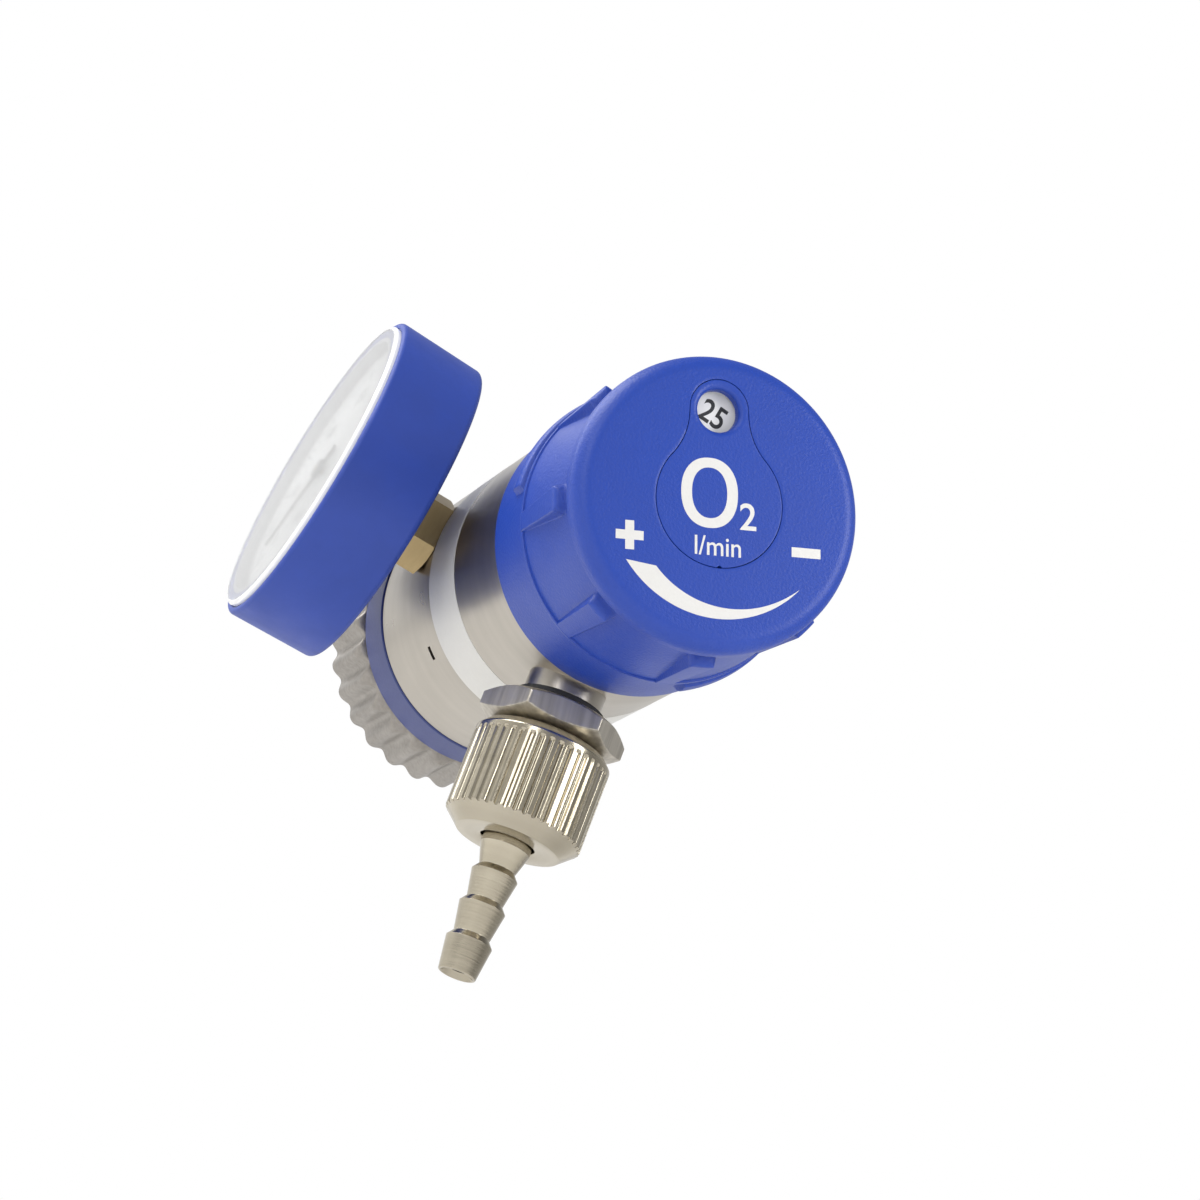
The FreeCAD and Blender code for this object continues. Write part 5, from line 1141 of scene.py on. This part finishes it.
def make_scratch_group():
    """Straight fine scratches that run one way, as Height, and broad bands of them as Streak."""
    group, source, result = new_group("straight scratches", {"Across Scale": 2500.0}, ("Height", "Streak"))
    scale = source.outputs["Across Scale"]
    squeezed = add_node(group, "VectorMath", operation="MULTIPLY")
    feed(group, squeezed.inputs[0], source.outputs["Vector"])
    squeezed.inputs[1].default_value = (1.0, 1.0, 0.035)
    fine = noise(group, squeezed.outputs[0], scale, 4.0, 0.7)
    give(group, result, "Height", fine, 0.25, 0.75)
    wide = noise(group, squeezed.outputs[0], calculate(group, "MULTIPLY", scale, 0.3))
    give(group, result, "Streak", wide, 0.35, 0.65)
    return group


GRAIN = make_grain_group()
TURNING = make_turning_group()
SCRATCHES = make_scratch_group()

# Mapping that brings each axis onto Z: turn in radians, then move in metres
AXIS_PLACES = {
    "main": ((math.pi / 2, 0, 0), (0, 0, 0)),
    "outlet": ((0, 0, 0), (0, -OUTLET_Y * MM, 0)),
    "gauge": ((0, math.pi / 2 - math.radians(GAUGE_RISE), 0), (0, -GAUGE_Y * MM, 0)),
}


def axis_coordinates(tree, axis):
    """The piece's own coordinates, with that axis along Z."""
    coordinates = add_node(tree, "TexCoord")
    mapping = add_node(tree, "Mapping")
    feed(tree, mapping.inputs["Vector"], coordinates.outputs["Object"])
    mapping.inputs["Rotation"].default_value, mapping.inputs["Location"].default_value = AXIS_PLACES[axis]
    return mapping.outputs[0]


def start_material(name, color, metallic, roughness):
    """New material under its name in MATERIALS; gives its tree and its shader."""
    material = bpy.data.materials.new(name)
    material.use_nodes = True
    MATERIALS[name] = material
    shader = material.node_tree.nodes["Principled BSDF"]
    shader.inputs["Base Color"].default_value = (*color, 1)
    shader.inputs["Metallic"].default_value = metallic
    shader.inputs["Roughness"].default_value = roughness
    return material.node_tree, shader


def use_group(tree, group, **values):
    node = add_node(tree, "Group", node_tree=group)
    for name, value in values.items():
        feed(tree, node.inputs[name.replace("_", " ")], value)
    return node


def add_relief(tree, shader, height, depth):
    """Relief from a height of 0 to 1; depth in millimetres."""
    bump = add_node(tree, "Bump")
    bump.inputs["Strength"].default_value = 1.0
    bump.inputs["Distance"].default_value = depth * MM
    feed(tree, bump.inputs["Height"], height)
    feed(tree, shader.inputs["Normal"], bump.outputs["Normal"])


def finish_surface(tree, shader, shares, color, shade, roughness, height, depth):
    """Colour and roughness that follow their two shares from the shade to the colour, and relief."""
    feed(tree, shader.inputs["Base Color"], blend_colors(tree, shares[0], shade, color))
    feed(tree, shader.inputs["Roughness"], spread(tree, shares[1], 0.0, 1.0, *roughness))
    add_relief(tree, shader, height, depth)


def skin_material(name, color, shade, roughness, grain_scale, depth, metallic=0.0, drift_scale=60.0,
                  gloss=0.5, change=0.5):
    """Moulded, cast, printed or sintered skin: grain in relief, gloss and shade that drift."""
    tree, shader = start_material(name, color, metallic, roughness[0])
    grain = use_group(tree, GRAIN, Vector=axis_coordinates(tree, "main"), Grain_Scale=grain_scale,
                      Drift_Scale=drift_scale)
    height = grain.outputs["Height"]
    mixed = mixture(tree, grain.outputs["Drift"], height, change)
    finish_surface(tree, shader, (mixed, mixed), color, shade, roughness[::-1], height, depth)
    shader.inputs["Specular IOR Level"].default_value = gloss


def turned_material(name, color, shade, roughness, axis="main", ring_scale=3000.0, depth=0.004):
    """Turned metal: rings in relief, bands that are a little darker and duller, slow drift."""
    tree, shader = start_material(name, color, 1.0, roughness[0])
    marks = use_group(tree, TURNING, Vector=axis_coordinates(tree, axis), Ring_Scale=ring_scale)
    drift = marks.outputs["Drift"]
    mixed = mixture(tree, marks.outputs["Streak"], drift, 0.5)
    height = marks.outputs["Height"]
    finish_surface(tree, shader, (mixed, drift), color, shade, roughness[::-1], height, depth)


def milled_material(name, color, shade, roughness, axis, lean, across_scale, depth):
    """Milled metal: straight scratches that lean off the axis, in relief and as darker bands."""
    tree, shader = start_material(name, color, 1.0, roughness[0])
    leaning = add_node(tree, "Mapping")
    feed(tree, leaning.inputs["Vector"], axis_coordinates(tree, axis))
    leaning.inputs["Rotation"].default_value = lean
    marks = use_group(tree, SCRATCHES, Vector=leaning.outputs[0], Across_Scale=across_scale)
    height = marks.outputs["Height"]
    finish_surface(tree, shader, (marks.outputs["Streak"], height), color, shade, roughness, height, depth)


# Each finish has a name, a colour, the shade that it drifts to, its lowest and highest roughness, and then
# what its kind takes besides
MATERIALS = {}
skin_material("blue_plastic", (0.008, 0.048, 0.355), (0.006, 0.042, 0.325), (0.38, 0.48), 2000.0, 0.04,
              change=0.4)
skin_material("blue_rubber", (0.016, 0.054, 0.350), (0.015, 0.048, 0.300), (0.44, 0.56), 1500.0, 0.004,
              drift_scale=110.0, change=0.2)
skin_material("white_plastic", (0.86, 0.86, 0.85), (0.84, 0.84, 0.83), (0.45, 0.55), 3000.0, 0.004)
skin_material("label_film", (0.68, 0.67, 0.63), (0.64, 0.63, 0.595), (0.28, 0.36), 1200.0, 0.003,
              drift_scale=90.0)
turned_material("nickel_brass", (0.460, 0.425, 0.372), (0.390, 0.360, 0.312), (0.27, 0.34), "main", 2600.0,
                0.003)
turned_material("brass", (0.72, 0.53, 0.25), (0.56, 0.39, 0.17), (0.24, 0.34))
skin_material("cast_wheel", (0.37, 0.345, 0.315), (0.25, 0.232, 0.21), (0.36, 0.46), 1100.0, 0.03,
              metallic=1.0, drift_scale=130.0, change=0.6)
turned_material("steel", (0.60, 0.60, 0.60), (0.48, 0.48, 0.49), (0.25, 0.35))
skin_material("seal_rubber", (0.030, 0.030, 0.031), (0.022, 0.022, 0.022), (0.55, 0.7), 2500.0, 0.01,
              gloss=0.35)
skin_material("seat_plastic", (0.84, 0.84, 0.80), (0.80, 0.80, 0.76), (0.4, 0.5), 2600.0, 0.006)
skin_material("bronze", (0.56, 0.38, 0.20), (0.20, 0.12, 0.06), (0.45, 0.7), 2800.0, 0.12,
              metallic=1.0, change=0.9)
skin_material("clear_plastic", (0.97, 0.975, 0.98), (0.96, 0.965, 0.97), (0.02, 0.05), 400.0, 0.0005)
turned_material("gauge_steel", (0.55, 0.55, 0.56), (0.46, 0.46, 0.47), (0.3, 0.4), "gauge")
skin_material("pointer_black", (0.022, 0.022, 0.024), (0.015, 0.015, 0.016), (0.5, 0.6), 3000.0, 0.006)
skin_material("white_ink", (0.68, 0.675, 0.66), (0.635, 0.63, 0.615), (0.42, 0.52), 2300.0, 0.008,
              change=0.7)
skin_material("dark_ink", (0.022, 0.023, 0.026), (0.035, 0.036, 0.040), (0.45, 0.6), 2600.0, 0.004,
              change=0.7)
turned_material("nickel_outlet", (0.50, 0.455, 0.36), (0.39, 0.35, 0.27), (0.17, 0.26), "outlet", 2200.0,
                0.006)
milled_material("nickel_milled", (0.53, 0.495, 0.43), (0.39, 0.36, 0.31), (0.30, 0.44), "outlet",
                (0.0, 0.12, 0.0), 2400.0, 0.006)
skin_material("blue_ring", (0.035, 0.052, 0.200), (0.030, 0.046, 0.175), (0.42, 0.52), 2300.0, 0.010)
# Brass made darker than the brass above to stand for the shadow between the gauge's boot and the body:
# painted shade
turned_material("brass_darkened_for_shade", (0.46, 0.35, 0.19), (0.32, 0.24, 0.12), (0.26, 0.4), "gauge")


def clear_lens_in_painted_highlight_rim():
    """Make the lens clear inside a pale rim, told from the distance to the gauge's axis; the pale, less
    clear rim is a painted highlight.
    """
    tree = MATERIALS["clear_plastic"].node_tree
    shader = tree.nodes["Principled BSDF"]
    distance = distance_from_axis(tree, axis_coordinates(tree, "gauge"))
    clear = spread(tree, distance, (LENS_R - 0.9) * MM, (LENS_R - 0.5) * MM, 1.0, 0.15)
    feed(tree, shader.inputs["Transmission Weight"], clear)
    shader.inputs["IOR"].default_value = 1.49


clear_lens_in_painted_highlight_rim()
OWN_FINISH = {"rear_ring": "blue_ring"}
# The gauge's socket and works wear the darkened brass, which is painted shade
for name in ("gauge_socket", "gauge_movement_frame", "gauge_sector", "gauge_pinion", "bourdon_tube"):
    OWN_FINISH[name] = "brass_darkened_for_shade"

for subpart in frame["record"]["subparts"]:
    node = frame["nodes"][subpart["node"]]
    node.data.materials.clear()
    node.data.materials.append(MATERIALS[OWN_FINISH.get(subpart["node"], subpart["material_slot"])])


# Camera, light and floor
def direction(azimuth, elevation):
    """Unit vector from the object towards a viewer; azimuth 0 stands in front of the knob."""
    a = math.radians(azimuth)
    e = math.radians(elevation)
    return Vector((math.sin(a) * math.cos(e), -math.cos(a) * math.cos(e), math.sin(e)))


def add_camera():
    back = direction(VIEW_AZIMUTH, VIEW_ELEVATION)
    level_right = Vector((0, 0, 1)).cross(back).normalized()
    level_up = back.cross(level_right)
    roll = math.radians(VIEW_ROLL)
    right = level_right * math.cos(roll) + level_up * math.sin(roll)
    up = level_up * math.cos(roll) - level_right * math.sin(roll)
    data = bpy.data.cameras.new("camera")
    data.lens = VIEW_LENS
    data.sensor_width = 36.0
    data.clip_start = 0.01
    camera = link_new("camera", data)
    turn = Matrix((right, up, back)).transposed().to_4x4()
    camera.matrix_world = Matrix.Translation(Vector(VIEW_AIM) + back * VIEW_DISTANCE) @ turn
    bpy.context.scene.camera = camera


def add_lamp(name, azimuth, elevation, distance, width, height, power):
    """Soft rectangular lamp that looks at the object's middle."""
    data = bpy.data.lights.new(name, "AREA")
    data.shape = "RECTANGLE"
    data.size = width
    data.size_y = height
    data.energy = power
    lamp = link_new(name, data)
    towards = direction(azimuth, elevation)
    lamp.location = Vector(LAMP_AIM) + towards * distance
    lamp.rotation_euler = towards.to_track_quat("Z", "Y").to_euler()


def add_world():
    """White behind the object. Reflections see white behind it and level with it, and a darker room
    above it, in front of it and on its right. Plain light is soft, and stronger from above."""
    world = bpy.data.worlds.new("studio")
    world.use_nodes = True
    tree = world.node_tree
    tree.nodes.clear()
    path = add_node(tree, "LightPath")
    coordinates = add_node(tree, "TexCoord")
    parts = add_node(tree, "SeparateXYZ")
    feed(tree, parts.inputs[0], coordinates.outputs["Generated"])
    above = spread(tree, parts.outputs[2], 0.42, 0.8, 1.0, ROOM_ABOVE)
    ahead = spread(tree, parts.outputs[1], 0.25, -0.5, 1.0, ROOM_AHEAD)
    beside = spread(tree, parts.outputs[0], 0.2, 0.9, 1.0, ROOM_BESIDE)
    room = calculate(tree, "MULTIPLY", calculate(tree, "MULTIPLY", above, ahead), beside)
    seen = calculate(tree, "MAXIMUM", path.outputs["Is Camera Ray"], path.outputs["Is Transmission Ray"])
    white = add_node(tree, "Background")
    white.inputs["Color"].default_value = (1, 1, 1, 1)
    feed(tree, white.inputs["Strength"], calculate(tree, "MAXIMUM", seen, room))
    soft = add_node(tree, "Background")
    soft.inputs["Color"].default_value = (1.0, 0.985, 0.965, 1)
    feed(tree, soft.inputs["Strength"], spread(tree, parts.outputs[2], -1.0, 1.0, SOFT_BELOW, SOFT_ABOVE))
    mix = add_node(tree, "MixShader")
    feed(tree, mix.inputs[0], calculate(tree, "MAXIMUM", seen, path.outputs["Is Glossy Ray"]))
    feed(tree, mix.inputs[1], soft.outputs[0])
    feed(tree, mix.inputs[2], white.outputs[0])
    feed(tree, add_node(tree, "OutputWorld").inputs["Surface"], mix.outputs[0])
    bpy.context.scene.world = world


def add_floor():
    """Pale floor under the lowest place that the hose tail slides to. Its underside lets a view through."""
    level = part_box("hose_tail")[0].z - (TAIL_TRAVEL + FLOOR_DROP) * MM
    corners, faces = bar(0, 0, 2 * FLOOR_HALF, 2 * FLOOR_HALF)
    mesh = bpy.data.meshes.new("floor")
    mesh.from_pydata([(x, y, level) for x, y in corners], [], faces)
    floor = link_new("floor", mesh)
    tree, shader = start_material("floor", (0.86, 0.86, 0.86), 0.0, 0.9)
    mix = add_node(tree, "MixShader")
    feed(tree, mix.inputs[0], add_node(tree, "NewGeometry").outputs["Backfacing"])
    feed(tree, mix.inputs[1], shader.outputs[0])
    feed(tree, mix.inputs[2], add_node(tree, "BsdfTransparent").outputs[0])
    feed(tree, tree.nodes["Material Output"].inputs["Surface"], mix.outputs[0])
    mesh.materials.append(MATERIALS["floor"])


build_knob()
build_collar()
build_body()
build_handwheel()
build_adapter()
build_nut()
build_tail()
build_gauge()
build_marks()
add_camera()
add_world()
add_floor()
for lamp_settings in LAMPS:
    add_lamp(*lamp_settings)
bpy.context.scene.view_settings.view_transform = "Standard"
